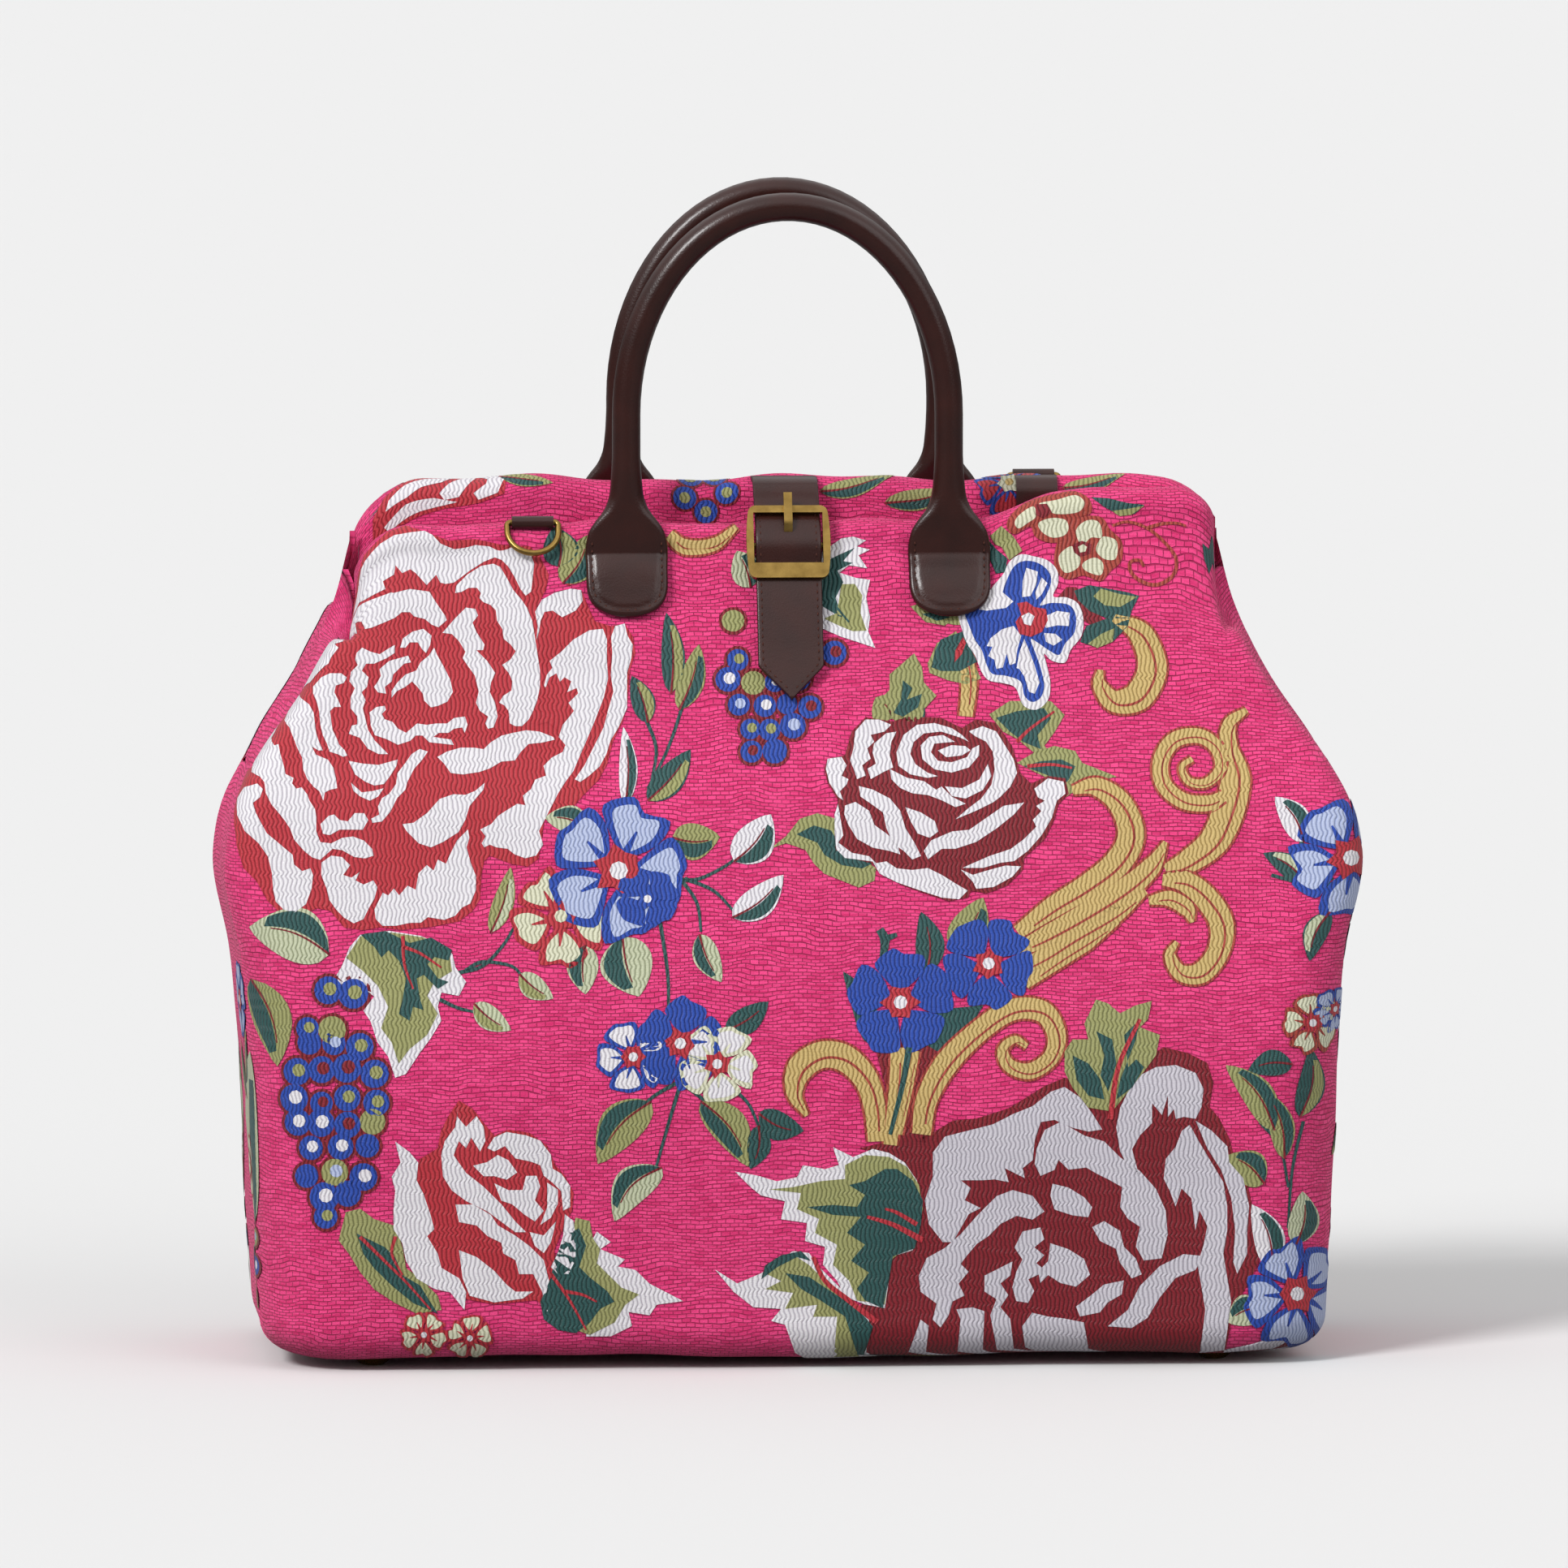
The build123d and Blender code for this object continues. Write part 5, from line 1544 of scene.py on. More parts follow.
# Gold scrolls
PHOTO.scroll([(82.5, 66), (84.5, 67.5), (88, 67.2), (90.8, 65)], (4, 6, 5, 2))
PHOTO.scroll([(118.8, 88.5), (119.2, 84), (118.5, 79.5)], (5, 6, 5), 0)
PHOTO.scroll([(137, 76.5), (140.3, 78.5), (141.7, 82.5), (140, 86), (137, 86.7), (135.2, 84.7),
              (135.3, 82.8)], (3, 9, 11, 11, 8, 5, 2))
MIDDLE.scroll([(155, 2), (150, 6), (149.5, 13), (151.5, 22), (149, 32), (145, 40), (138, 45.5),
               (131, 48.5)], (2, 5, 7, 11, 12, 11, 9, 5))
MIDDLE.scroll([(148, 27), (143, 29), (136, 28), (130.5, 23), (130, 16), (134, 10.5), (141, 9.5),
               (146, 13), (147, 19), (143, 23), (138, 22.5), (136, 18.5), (139, 16)],
              (4, 6, 6, 6, 6, 6, 5.5, 5, 4, 3.5, 3, 2.5, 2), 2)
for points, widths in (
    ([(104, 25), (111, 24), (118, 29), (121, 38), (117, 46), (108, 53), (98, 59), (88, 66)],
     (3, 7, 9, 10, 10, 9, 8, 5)),
    ([(131, 40), (127, 47), (119, 54), (108, 61), (97, 67), (88, 71)], (1.5, 7, 9, 9, 8, 5)),
    ([(125, 54), (116, 61), (104, 68), (96, 73), (88, 77)], (3, 7, 8, 7, 5)),
    ([(117, 63), (108, 69), (100, 74), (90, 81)], (2, 6, 6, 4)),
    ([(130, 51), (137, 52), (143, 57), (147, 64), (146, 72), (141, 78), (135, 78), (132, 73),
      (134, 69)], (4, 8, 9, 9, 8, 8, 6, 4, 1.5)),
    ([(126, 57), (132, 56.5), (137, 59.5), (138.5, 63.5)], (3, 6, 6, 1.5)),
):
    MIDDLE.scroll(points, widths, 2)
MIDDLE.fill("""44 92 47 100 50 112 50 126 42 128 52 130 62 126 66 112 64 98 56 94""", "wine", 0)
MIDDLE.fill("""60 92 66 88 78 87 73 95 66 101 61 98""", "green", 1)
for points, widths in (
    ([(27, 118.5), (23.5, 112), (25, 105), (31, 101), (38, 102), (44, 108), (46.5, 116), (47, 126)],
     (1.5, 6, 10, 10, 10, 9, 8, 6)),
    ([(60, 124), (61.5, 114), (67, 104), (76, 95), (86, 88.5), (95, 89), (99, 95.5), (97.5, 102),
      (91.5, 106), (85.5, 104.5), (83.5, 100), (87, 97), (90.5, 99)],
     (7, 8, 9, 8, 8, 8, 7, 6, 6, 5, 4, 3, 2)),
    ([(53.5, 99), (53, 110), (51, 127)], (6, 6, 5)),
    ([(58.5, 100), (56.5, 110), (53.5, 124)], (2.5, 3, 2.5)),
):
    MIDDLE.scroll(points, widths, 2)
MIDDLE.stroke([(56.5, 99), (54.5, 110), (51, 124)], (2.5, 2, 1.5), "green", 5)
for row in (
    ((45, 98), (37.5, 77), 9, "green", "green", 0.1),
    ((61.5, 78), (60, 60), 11, "green", "green", 0.1),
    ((68.5, 70), (78, 56), 14, "olive", "green", 0.1),
):
    MIDDLE.leaf(*row)
MIDDLE.blossom((54, 86), 20, -90, face="blue", layer=5)
MIDDLE.blossom((79.5, 75), 18, -55, face="blue", layer=5)
for row in (
    ([(48, 65), (49.5, 68), (49, 73)], (3, 3.5, 2.5), "green", 1),
    ([(49, 68), (53, 66.5)], (3, 1.5), "green", 1),
):
    MIDDLE.stroke(*row)

# Leaves around the middle rose
MIDDLE.fill("""16.5 41.5 21 38 25 33 30 31.5 35 33 36 37 39 42 44 45 47 47.5 46.5 51 42 53
37 51 32 49 29 46 26.5 42 21 40

80 3 86 -1 98 -1 102 3 99 8 96 12 98 14 93 14 88 10 84 8

88 17 93 14 99 12 105 13.5 107 17 112 19 117 21 110 22.5 105 25 102 27 100 23 96 21 92 19""",
            "olive", 1)
MIDDLE.fill("""24 37.5 29 35 34 36.5 36 40 40 44 46 46 43 47.5 37 46.5 32 43.5 30 40

82 4 88 2 96 1 98 4 94 9 95 13 90 11 86 8

90 18 95 16.5 101 16 105 18 103 22 100 25 98 21 94 19.5""", "green", 2)
for row in (
    ([(88, 11), (92, 7), (99, 2)], (1.5, 0.8), "red", 3),
    ([(91, 18), (98, 17.5), (104, 18.5)], (1.5, 0.8), "red", 3),
):
    MIDDLE.stroke(*row)
for row in (
    ((52, 4), (47, -2), 14, "olive", "green", 0.1),
    ((54, 4), (60, -3), 12, "green", "olive", 0.1),
):
    MIDDLE.leaf(*row)

# Right edge
PHOTO.blossom((165.5, 106), 23, 20, layer=3)
for row in (
    ((160, 104), (156.5, 98.5), 11, "white", "green", 0.1),
    ((160.5, 109.5), (155, 105.3), 9, "green", "pale_green", 0.1),
    ((163, 112.5), (160.5, 118.5), 9, "green", "pale_green", 0.1),
):
    PHOTO.leaf(*row)
PHOTO.blossom((161, 126), 12, 40, edge="rust", face="cream")
PHOTO.blossom((164, 124.5), 9, 10, layer=3)
for points in (
    [(159.5, 104), (162, 106)],
    [(160, 138), (158.5, 144), (158, 151)],
    [(154.5, 138), (157, 141), (158, 146)],
    [(156, 108), (160, 109), (163.5, 108.5)],
    [(163, 108), (162.5, 113), (161, 116)],
):
    PHOTO.stroke(points, (1.4, 1.0), "green", 0)
for row in (
    ((156.3, 139), (150.3, 131), 12, "olive", "green", 0.1),
    ((157.5, 142.5), (155, 134), 10, "olive", "green", 0.1),
    ((159.5, 137.5), (160.8, 129), 11, "green", "olive", 0.1),
    ((158.5, 131), (153, 131.7), 10, "green", "green", 0.1),
    ((155, 145.5), (150.5, 142), 13, "olive", "green", 0.1),
    ((159, 153), (159.8, 146.5), 12, "pale_green", "green", 0.1),
    ((156, 156), (153.5, 148), 12, "white", "green", 0.1),
    ((155, 160.5), (150.5, 162.3), 12, "pale_green", "green", 0.1),
):
    PHOTO.leaf(*row)
PHOTO.blossom((159, 159), 21, 30, layer=3)

# Leaves beside the left tab
for row in (
    ((69.5, 72), (72.5, 66), 13, "olive", "green", 0.1),
    ((69, 70), (68.5, 65), 14, "green", "olive", 0.1),
):
    PHOTO.leaf(*row)
PHOTO.stroke([(70, 72), (74, 69.5)], (2.5, 1.5), "red", 1)

# Upper right corner: pansy, cream flowers, leaves and a thin curl
TOP_RIGHT.fill("""59 29 62 27 65.5 27.5 69 28.5 71.5 31 71.8 34.5 70.5 38 74 38.3 77 40 78.3 44
77.8 48.5 75 52 73.5 55.3 70 54.8 68 53 69 57 69.6 61 69 65 66 67.6 62.5 66.5 60.5 62 57.5 60.8
53.5 60 51.5 57.5 50 53.5 48 50.5 46.5 46.5 45.5 42.5 47 40 52 38.5 55 35 57.5 32""",
               "white", 4, True)
TOP_RIGHT.fill("""60 30.5 62.5 28.8 66 29 69 31 70 34 68.5 38 67 40.5 70 39.8 74.5 40.3 76.3 43
76 47.5 73.5 50.5 72 53.3 69.5 52.3 66 50 64.5 49.5 66 53.5 67.3 57.5 68 61.5 67 64.5 64.8 65.6
62.8 64 61.8 60.3 58 58.8 54.5 58.3 53 56 51.7 52 50 49.5 48.3 45.5 47.3 42.5 49 41.3 53 40.6
56.5 38.5 58 34.5""", "blue", 5, True)
TOP_RIGHT.fill("""63.5 30.5 66.5 31.5 66 35 64.5 38 62.3 38.3 62.5 34

67.5 33 69 34.5 67.5 37.5 66 39 65.8 37

50.5 39.5 54 38 57 36.8 60 39.5 58 41.3 53 42 50 41.5

60 46 57 46.8 54 49 53 51 54.5 51.2 53.4 53.6 55 54.6 55.5 57 57.2 56.6 58.2 53 59 56 60.5 55.5
61 52 62 48.5

62.8 49.3 64 52 65.5 56 66.8 60.5 65.5 63.5 64 63 62.8 59 61.5 57 60.8 56.8 61.5 52.8

67 44 71.5 42 74.8 42.5 74.5 46 71.5 45.8 68.5 46.5

68 47.8 71 48 72.8 49.5 70.5 51 68.5 50""", "white", 6)
TOP_RIGHT.fill("""61 40 63.5 39.5 65.5 41 68.5 41.5 69 44.5 67.5 47.5 64.5 48.8 61.5 48
60.5 45 62 43""", "red", 7)
TOP_RIGHT.fill("62 43.5 64 42.5 65.5 43.5 64.5 46 62.8 45.5", "white", 8)
TOP_RIGHT.fill("""71 39 74 35.5 76.5 35.5 79 38 82 42 84 45 80 45.5 76 43 72 42.5""", "wine", 1)
TOP_RIGHT.fill("""76 36.5 80 35 85 36 90 37 93 38 91 42 90 46 86 50 82 51.5 77.5 50 79 46 84.5 44
80 42 77 39""", "green", 2)
TOP_RIGHT.fill("""83 36 88 37.5 92.5 38.3 88 41 84 40.5 81 38

79.5 50.5 83 48 86.5 46.5 86 50 82 51.6""", "olive", 3)
TOP_RIGHT.fill("""50 56.5 51.5 59.5 47.5 61 43 60 38 58 37.5 55.5 40 50 45 47""", "olive", 1)
TOP_RIGHT.fill("""41 49 47.5 46.8 49 52 50.5 55 46 57.5 41 57.5 38.5 56.5 39.5 52""", "green", 2)
TOP_RIGHT.fill("""46.8 48.5 47.6 50 46.5 53 44.5 55.2 44.8 52""", "red", 3)
TOP_RIGHT.fill("""34 52.8 36 56.5 36.5 60.5 39.8 64 37 67 32 69.5 29 70.5 23 67 27.5 62.5 27.5 58.5
31 55.5""", "olive", 3)
TOP_RIGHT.fill("31 60 33.5 62 32 65 36 63.5 35 67 31 69.5 28.5 68.5 30.5 65", "green", 4)
TOP_RIGHT.fill("""54 22 57 19.5 60 22 62.5 26 59 28.5 57 25 55.5 24.5

33 40.5 37.5 39.5 43 40 46 43 42 45.5 37 44.5""", "olive", 1)
TOP_RIGHT.fill("""53.5 23 55.5 25.5 58.5 28 58 31.5 55.5 32 53.5 27

36 42.5 40 42 43.5 43.5 40 44.3""", "green", 2)
TOP_RIGHT.fill("""59 17.5 62 14.5 66 12.5 70 11.5 76 10.5 80 12.5 80.5 16 77 17.5 75.5 20 75 22.5
70.5 24 66 22.5 64.5 19.5 60.5 21.5 58.5 20

72.5 22 75.5 18.5 79.5 16.8 83.5 17.5 85.5 20.5 88.5 23.5 88.5 28.5 85.5 31.5 83 34 78.5 32.5
74 33.5 71 30.5 71 26""", "rust", 2, True)
TOP_RIGHT.fill("""62 16.5 65.5 14.5 66 17 64 18.5 61.5 20 60.5 18.6

67 13.8 71.5 12.8 76.5 11.6 78.8 13.5 77 15.8 72 16.3 69.5 15.6

70 17.3 73.5 17.8 74.6 20 73.5 22 70.3 22.6 67.5 21 66.7 18.6

76.5 20.8 79.2 18.2 82.5 18.6 83.3 22.5 80.5 22.6 78 24.5

84 22.3 87.2 23.6 87 28 84 28.2 81.8 26 82.5 23.6

78.3 29.3 81.3 27.8 83.6 29.3 83 32.4 79 31.2

72.2 27 75.5 24.8 77.6 27.8 77 30.4 74 31.8 72.3 30""", "cream", 3, True)
TOP_RIGHT.fill("66 14 69 13.8 70.2 15.8 68 17.4 66 16.6", "wine", 4)
TOP_RIGHT.fill("75.5 24.5 78 23.4 80.6 24.3 80.3 26.8 77.6 27.6 76 26.4", "wine", 4)
TOP_RIGHT.fill("77 25 78.4 24.3 79.4 25 79 26.2 77.6 26.5", "cream", 5)
TOP_RIGHT.fill("80.5 12 85 12.3 90 13.5 94.5 14 92 16.3 88 16.6 84 14.5", "green", 1)
TOP_RIGHT.fill("86 15.5 90 15 94.5 14.2 91 16.6 88 17", "olive", 2)
CURL = [(86, 19.5), (90, 18.5), (95, 20), (99.5, 23.5), (102.8, 28), (102, 32.5), (98, 35),
        (94, 34.3), (91, 31.8), (90.8, 29), (93.3, 28.6), (94.3, 30.2)]
for row in (
    (CURL, (1.0, 1.5, 1.2), "rust", 1),
    ([(95.5, 20), (99, 19), (103, 18.8), (105.5, 19.5)], (1.4, 0.9), "rust", 1),
):
    TOP_RIGHT.stroke(*row)
TOP_RIGHT.fill("""110 24 112 25.5 114 29 114.5 33 112 32 110.5 28""", "green", 1)

# Ragged leaf right of the strap
TOP_RIGHT.fill("""10 26 15 22.5 18 22 21.5 23 19 24.6 22.5 25.5 19.5 27 21.8 30.5 17 29.6 14.5 31.5
19 33 22.5 33.5 21.5 38 22.5 43 22 47 23.8 51.5 19.5 50 15 48.5 9.5 46 9.5 38 9.5 30""", "white", 1)
TOP_RIGHT.fill("""10 29 14 27 18.5 25 15.5 28.5 18 29 14 31 15.5 34 13.5 38 15 42 16.5 45 13 42
9.8 40""", "green", 2)
TOP_RIGHT.fill("""15 34.5 18.5 34.5 20.5 37.5 20 42 21.6 46.8 18 47 14.5 45.5 10.5 43.5 13.8 42
14.5 38""", "olive", 2)
TOP_RIGHT.stroke([(10, 36), (13, 39.5), (17, 44.5)], (1.2, 0.7), "green", 3)

# Both ends of the bag
for end in (-1, 1):
    shift = 12 * end
    top = -150 - shift
    stem = [(end * 236, -20), (end * 228, -60), (end * 240, -105), (end * 232, top)]
    ENDS_SHEET.stroke(stem, (1.4, 1.2, 1.0), "green", 0)
    ENDS_SHEET.blossom((end * 234, top), 15, 20 * end)
    ENDS_SHEET.blossom((end * 237, -62 + shift), 13, 40, edge="rust", face="cream", eye="gold")
    ENDS_SHEET.leaf((end * 239, -106), (end * 222, -128), 9)
    ENDS_SHEET.leaf((end * 238, -100), (end * 254, -122), 9, bend=-0.06)
    ENDS_SHEET.leaf((end * 232, -88), (end * 215, -78), 8)
    ENDS_SHEET.leaf((end * 230, -44), (end * 246, -30), 9, "pale_green", "green")
    ENDS_SHEET.leaf((end * 233, -36), (end * 218, -22), 9)

# What shows of the back rim over the front one, from the rim's top down its inner face
BACK_RIM.fill("46 3.5 47.5 1.8 50.5 .4 54 -.6 60 -.6 62.6 .8 62.2 3.6 59 4.4 55 5 50 6.5 46 6.5",
              "red", 0)
BACK_RIM.fill("""48 2.7 50 1.5 53 .7 56 .3 54.5 1.6 52 2.4 50.2 3.4 47.6 3.8

54.2 3.2 55.4 1.8 57.4 .2 58.8 .6 57.6 2.2 56.6 3.6 54.8 4

59.2 .2 61.4 .2 62.2 1.6 61.4 3.4 59 4 58.4 3.2 60 2 60.2 1.2

47.4 5.6 50 4.2 53.5 3.8 56.4 4.2 53.4 5 50.4 5.8 48 6.6""", "white", 2)
BACK_RIM.leaf((61.6, 0.8), (68.2, 2.4), 6.5, "olive", "green")
for x, y in ((85.2, 0.6), (88.2, 0.4), (84.4, 3.6), (89.6, 3.0), (87, 5.2)):
    rings = ((1.75, 14, "wine"), (1.45, 14, "blue"), (0.7, 9, "olive"))
    for layer, (radius, count, colour) in enumerate(rings):
        BACK_RIM.add(circle((x, y), radius, count), colour, layer)
for row in (
    ((101, 3.4), (110.5, 0.4), 8, "olive", "green"),
    ((109, 4.8), (117.5, 2.2), 8, "olive", "green"),
):
    BACK_RIM.leaf(*row)
BACK_RIM.blossom((124.5, 2.2), 13, 25, face="red", heart="cream", eye="gold")
BACK_RIM.leaf((131, 3), (139, 1), 7, "olive", "green")


# How far up and down the cloth the print goes, and how far along it past each end's corner
LOWEST = -2.8
HIGHEST = 318
PAST_THE_END = 24
SHORT_OF_FLANGE = -0.3
BEYOND_ARC = 14
ROUND_THE_END = 1.8

# How far the print lies above the cloth, and each layer above the one below it
LOWEST_LIFT = 0.28
LAYER_LIFT = 0.055

# Search for the place on the cloth that is seen at a place in the picture
FIRST_GUESS = 5
NUDGE = 0.5
SEARCH_STEPS = 12
LONGEST_STEP = 12
SMALLEST_AREA = 0.15
END_STEPS = 6
TURNED_SHARES = (0.45, 0.55)

# Distances between the points of a shape's outline and of its inside
OUTLINE_PITCH = 2.2
TIGHT_PITCH, MIDDLE_PITCH, WIDE_PITCH = 1.6, 2.4, 4.8
TIGHT_BEFORE_ARC = 3
TIGHT_ABOVE, TIGHT_BELOW = 296, 24
MERGE_DISTANCE = 0.02


def seen_place(u, v):
    """Place of front cloth points in the picture plane of the photograph's angle."""
    x, y, z = np.moveaxis(cloth(FRONT, u, v), -1, 0)
    across = x * math.cos(CAMERA_AZIMUTH) + y * math.sin(CAMERA_AZIMUTH)
    return np.stack([across, z * math.cos(CAMERA_ELEVATION) + y * math.sin(CAMERA_ELEVATION)], -1)


def outmost(v):
    """How far along the cloth the pattern may reach at a height."""
    beyond = np.where(v > FOLD_FOOT - 4, SHORT_OF_FLANGE, PAST_THE_END)
    return cloth_reach(v, FLANGE_START) + beyond


def cloth_places(target):
    """Places on the front cloth that are seen at some places in the picture plane."""
    u = target[:, 0].copy()
    v = np.clip(target[:, 1] + FIRST_GUESS, LOWEST, HIGHEST)
    for _ in range(SEARCH_STEPS):
        seen = seen_place(u, v)
        by_u = (seen_place(u + NUDGE, v) - seen) / NUDGE
        by_v = (seen_place(u, v + NUDGE) - seen) / NUDGE
        miss = target - seen
        area = by_u[:, 0] * by_v[:, 1] - by_u[:, 1] * by_v[:, 0]
        area = np.maximum(area, SMALLEST_AREA)
        du = (miss[:, 0] * by_v[:, 1] - miss[:, 1] * by_v[:, 0]) / area
        dv = (by_u[:, 0] * miss[:, 1] - by_u[:, 1] * miss[:, 0]) / area
        v = np.clip(v + np.clip(dv, -LONGEST_STEP, LONGEST_STEP), LOWEST, HIGHEST)
        limit = np.minimum(cloth_reach(v, ARC_END) + BEYOND_ARC, outmost(v))
        u = np.clip(u + np.clip(du, -LONGEST_STEP, LONGEST_STEP), -limit, limit)
    end = np.sign(target[:, 0])
    low = np.clip(target[:, 1] + FIRST_GUESS, LOWEST, HIGHEST)
    near, far = TURNED_SHARES
    for _ in range(END_STEPS):
        turned = end * (near * cloth_reach(low, ARC_START) + far * cloth_reach(low, ARC_END))
        low = np.clip(low + target[:, 1] - seen_place(turned, low)[:, 1], LOWEST, HIGHEST)
    beyond = target[:, 0] - seen_place(turned, low)[:, 0]
    gone_round = beyond * end > 0
    round_u = turned + ROUND_THE_END * beyond
    round_u = np.clip(round_u, -outmost(low), outmost(low))
    return np.stack([np.where(gone_round, round_u, u), np.where(gone_round, low, v)], -1)


def densify(outline):
    """Closed outline with extra points on its long sides."""
    found = []
    for a, b in zip(outline, np.roll(outline, -1, 0)):
        count = max(1, math.ceil(np.hypot(*(b - a)) / OUTLINE_PITCH))
        found.append(a + (b - a) * (np.arange(count) / count)[:, None])
    return np.concatenate(found)


def spacing(u, v):
    """How far apart the pattern's inner points may lie at places on the cloth."""
    round_end = np.abs(u) > cloth_reach(v, ARC_START) - TIGHT_BEFORE_ARC
    tight = round_end | (v > TIGHT_ABOVE) | (v < TIGHT_BELOW)
    return np.where(tight, TIGHT_PITCH, np.where(v > HINGE, MIDDLE_PITCH, WIDE_PITCH))


def triangulated(outline):
    """Triangles that fill an outline on the cloth, with points inside it."""
    low, high = outline.min(0), outline.max(0)
    gap = float(np.min(spacing(outline[:, 0], outline[:, 1])))
    columns = np.arange(low[0] + gap / 2, high[0], gap)
    rows = np.arange(low[1] + gap / 2, high[1], gap)
    i, j = np.meshgrid(np.arange(len(columns)), np.arange(len(rows)))
    i, j = i.ravel(), j.ravel()
    every = np.maximum(1, np.round(spacing(columns[i], rows[j]) / gap)).astype(int)
    kept = (i % every == 0) & (j % every == 0)
    inner = np.stack([columns[i[kept]], rows[j[kept]]], -1)
    points = [Vector(p) for p in np.concatenate([outline, inner]).tolist()]
    ring = [list(range(len(outline)))]
    places, _, faces = delaunay_2d_cdt(points, [], ring, 1, MERGE_DISTANCE)[:3]
    return np.array([p[:] for p in places]), [tuple(f) for f in faces]


def pattern(side, side_name):
    """All drawn shapes of one side in one mesh, each a little above what lies under it."""
    colours = list(SATINS)
    places, lifts, faces, finish = [], [], [], []
    count = 0
    for (uv, triangles), colour, layer in DRAWN + (RIM_DRAWN if side == BACK else []):
        places.append(uv)
        lifts.append(np.full(len(uv), LOWEST_LIFT + LAYER_LIFT * layer))
        for face in triangles:
            face = tuple(count + i for i in face)
            faces.append(face if side == FRONT else face[::-1])
        finish += [colours.index(colour)] * len(triangles)
        count += len(uv)
    places = np.concatenate(places)
    points = skin_points(side, places[:, 0], places[:, 1], np.concatenate(lifts))
    materials = [SATINS[name] for name in colours]
    obj = make_mesh(f"{side_name}_pattern", points, faces, materials, finish, places)
    blend_to_mouth(obj)


outlines = [densify(outline) for outline, _, _ in Sheet.seen]
splits = np.cumsum([len(outline) for outline in outlines])[:-1]
outlines = np.split(cloth_places(np.concatenate(outlines)), splits)
DRAWN = [
    (triangulated(outline), colour, layer)
    for outline, (_, colour, layer) in zip(outlines, Sheet.seen)
]
DRAWN += [(triangulated(densify(place)), colour, layer) for place, colour, layer in Sheet.ends]
RIM_DRAWN = [
    (triangulated(densify(place)), colour, layer) for place, colour, layer in Sheet.back_rim
]
for side, side_name in SIDES:
    pattern(side, side_name)


# Finish of each CAD piece that keeps its own shape
CAD_FINISHES = {
    "base_board": BOARD,
    "foot_front_left": BRASS,
    "foot_front_right": BRASS,
    "foot_back_left": BRASS,
    "foot_back_right": BRASS,
    "hinge_rivet_left": STEEL,
    "hinge_rivet_right": STEEL,
    "front_frame_strip": STEEL,
    "back_frame_strip": STEEL,
    "front_handle_core": CORD,
    "back_handle_core": CORD,
    "front_ring_loop": STRAP_LEATHER,
    "back_ring_loop": STRAP_LEATHER,
    "front_d_ring": ANTIQUE,
    "back_d_ring": ANTIQUE,
    "buckle_frame": ANTIQUE,
    "buckle_prong": ANTIQUE,
    "buckle_chape": STRAP_LEATHER,
}
for node_name, finish in CAD_FINISHES.items():
    node = frame["nodes"][node_name]
    node.data.materials.clear()
    node.data.materials.append(finish)

# Stage: a large floor, in metres, that looks as light as the photograph's background
BACKGROUND = linear("#F0F0F0")[0]
FLOOR_HALF = 200
floor_mesh = bpy.data.meshes.new("floor")
corners = ((-1, -1), (1, -1), (1, 1), (-1, 1))
floor_corners = [(x * FLOOR_HALF, y * FLOOR_HALF, 0) for x, y in corners]
floor_mesh.from_pydata(floor_corners, [], [(0, 1, 2, 3)])
floor = bpy.data.objects.new("floor", floor_mesh)
bpy.context.scene.collection.objects.link(floor)

# Light: the sky's strength, the floor's grey for bounced light, and two suns, each with its
# name, strength, height, turn from the front and width, all three angles in degrees
SKY = 0.62
BOUNCE = 0.3
SUNS = (
    ("key", 2.2, 38, -42, 16),
    ("fill", 0.5, 28, 40, 40),
)
flat_light = SKY + sum(
    strength * math.sin(math.radians(height)) / math.pi for _, strength, height, _, _ in SUNS
)
floor_material = Material("floor_paper", roughness=1.0, specular=0.0)
paper = BACKGROUND / flat_light
path = floor_material.node("ShaderNodeLightPath").outputs["Is Camera Ray"]
bounced, seen = (BOUNCE, BOUNCE, BOUNCE, 1), (paper, paper, paper, 1)
floor_material.colour(floor_material.mix(path, bounced, seen))
floor_mesh.materials.append(floor_material.material)

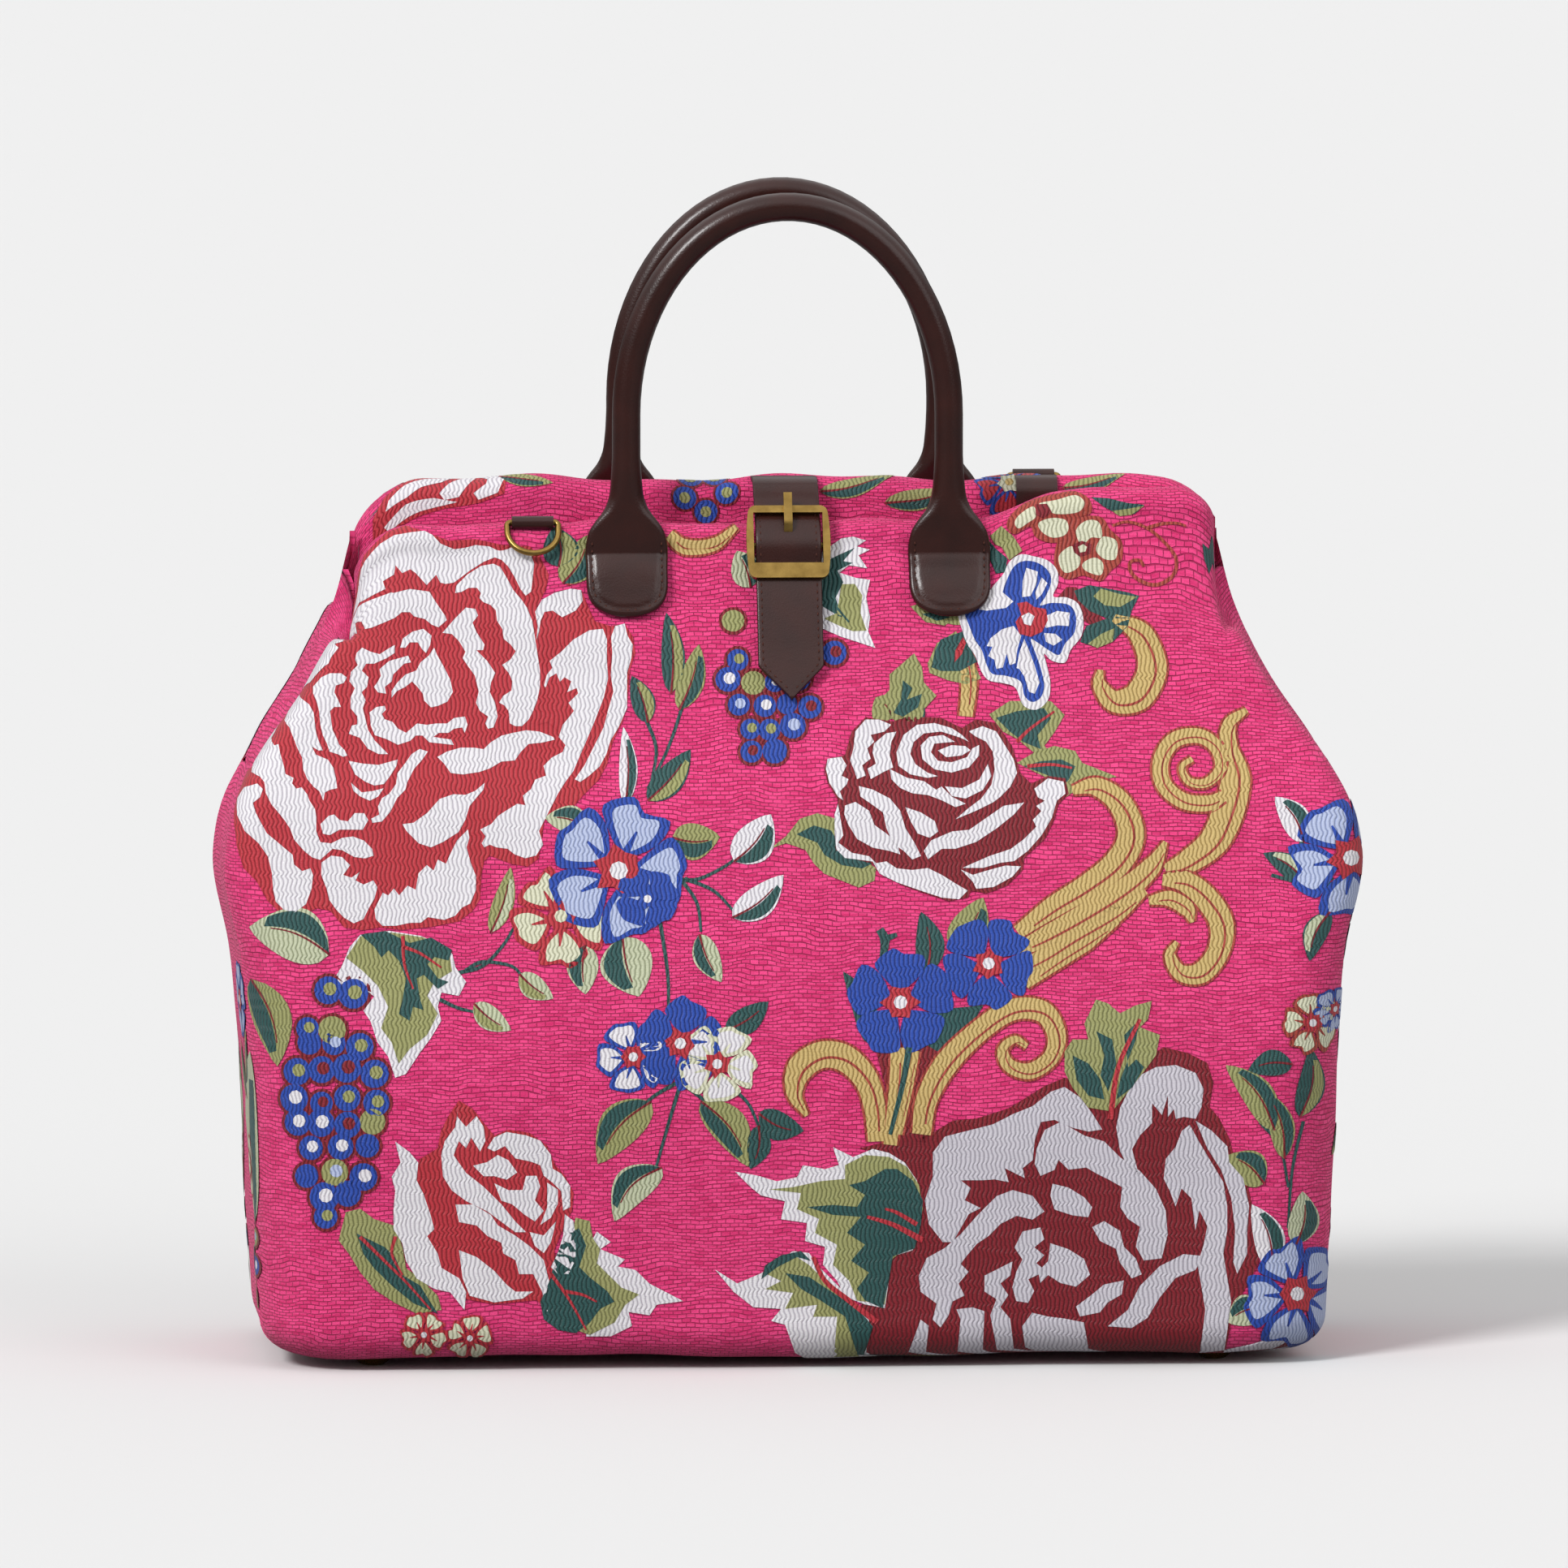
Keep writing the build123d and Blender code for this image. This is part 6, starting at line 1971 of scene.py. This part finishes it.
for name, strength, height, turn, width in SUNS:
    lamp = bpy.data.lights.new(name, "SUN")
    lamp.energy = strength
    lamp.angle = math.radians(width)
    sun = bpy.data.objects.new(name, lamp)
    bpy.context.scene.collection.objects.link(sun)
    e, a = math.radians(height), math.radians(turn)
    towards = Vector((math.sin(a) * math.cos(e), -math.cos(a) * math.cos(e), math.sin(e)))
    sun.rotation_euler = towards.to_track_quat("Z", "Y").to_euler()

# Sky: even for light, lighter upward in reflections, and the background's grey to the camera
world = bpy.data.worlds.new("studio")
bpy.context.scene.world = world
world.use_nodes = True
sky = NodeTree(world.node_tree)
sky.tree.nodes.clear()
path = sky.node("ShaderNodeLightPath").outputs
height = sky.node("ShaderNodeSeparateXYZ", {0: sky.node("ShaderNodeTexCoord").outputs["Generated"]})
span = {"From Min": 0.15, "From Max": 0.75, "To Min": 0.12, "To Max": 1.3}
above = sky.node("ShaderNodeMapRange", {"Value": height.outputs["Z"], **span})
lit = sky.node("ShaderNodeBackground", {"Color": (1, 1, 1, 1), "Strength": SKY})
mirrored = sky.node("ShaderNodeBackground", {"Color": (1, 1, 1, 1), "Strength": above.outputs[0]})
seen = sky.node("ShaderNodeBackground", {"Color": (BACKGROUND, BACKGROUND, BACKGROUND, 1)})
mixed = lit
for ray, other in (("Is Glossy Ray", mirrored), ("Is Camera Ray", seen)):
    ends = {0: path[ray], 1: mixed.outputs[0], 2: other.outputs[0]}
    mixed = sky.node("ShaderNodeMixShader", ends)
sky.node("ShaderNodeOutputWorld", {0: mixed.outputs[0]})

# Camera at the photograph's angle
camera_data = bpy.data.cameras.new("camera")
camera = bpy.data.objects.new("camera", camera_data)
bpy.context.scene.collection.objects.link(camera)
bpy.context.scene.camera = camera
camera_data.sensor_width = SENSOR
camera_data.lens = PIXELS_PER_MM * CAMERA_DISTANCE * SENSOR / PHOTO_SIDE
camera_data.clip_end = 1000
away = Vector(
    (
        math.sin(CAMERA_AZIMUTH) * math.cos(CAMERA_ELEVATION),
        -math.cos(CAMERA_AZIMUTH) * math.cos(CAMERA_ELEVATION),
        math.sin(CAMERA_ELEVATION),
    )
)
camera.location = (Vector((0, 0, CAMERA_AIM_HEIGHT)) + away * CAMERA_DISTANCE) * MM
camera.rotation_euler = away.to_track_quat("Z", "Y").to_euler()
bpy.context.scene.view_settings.view_transform = "Standard"
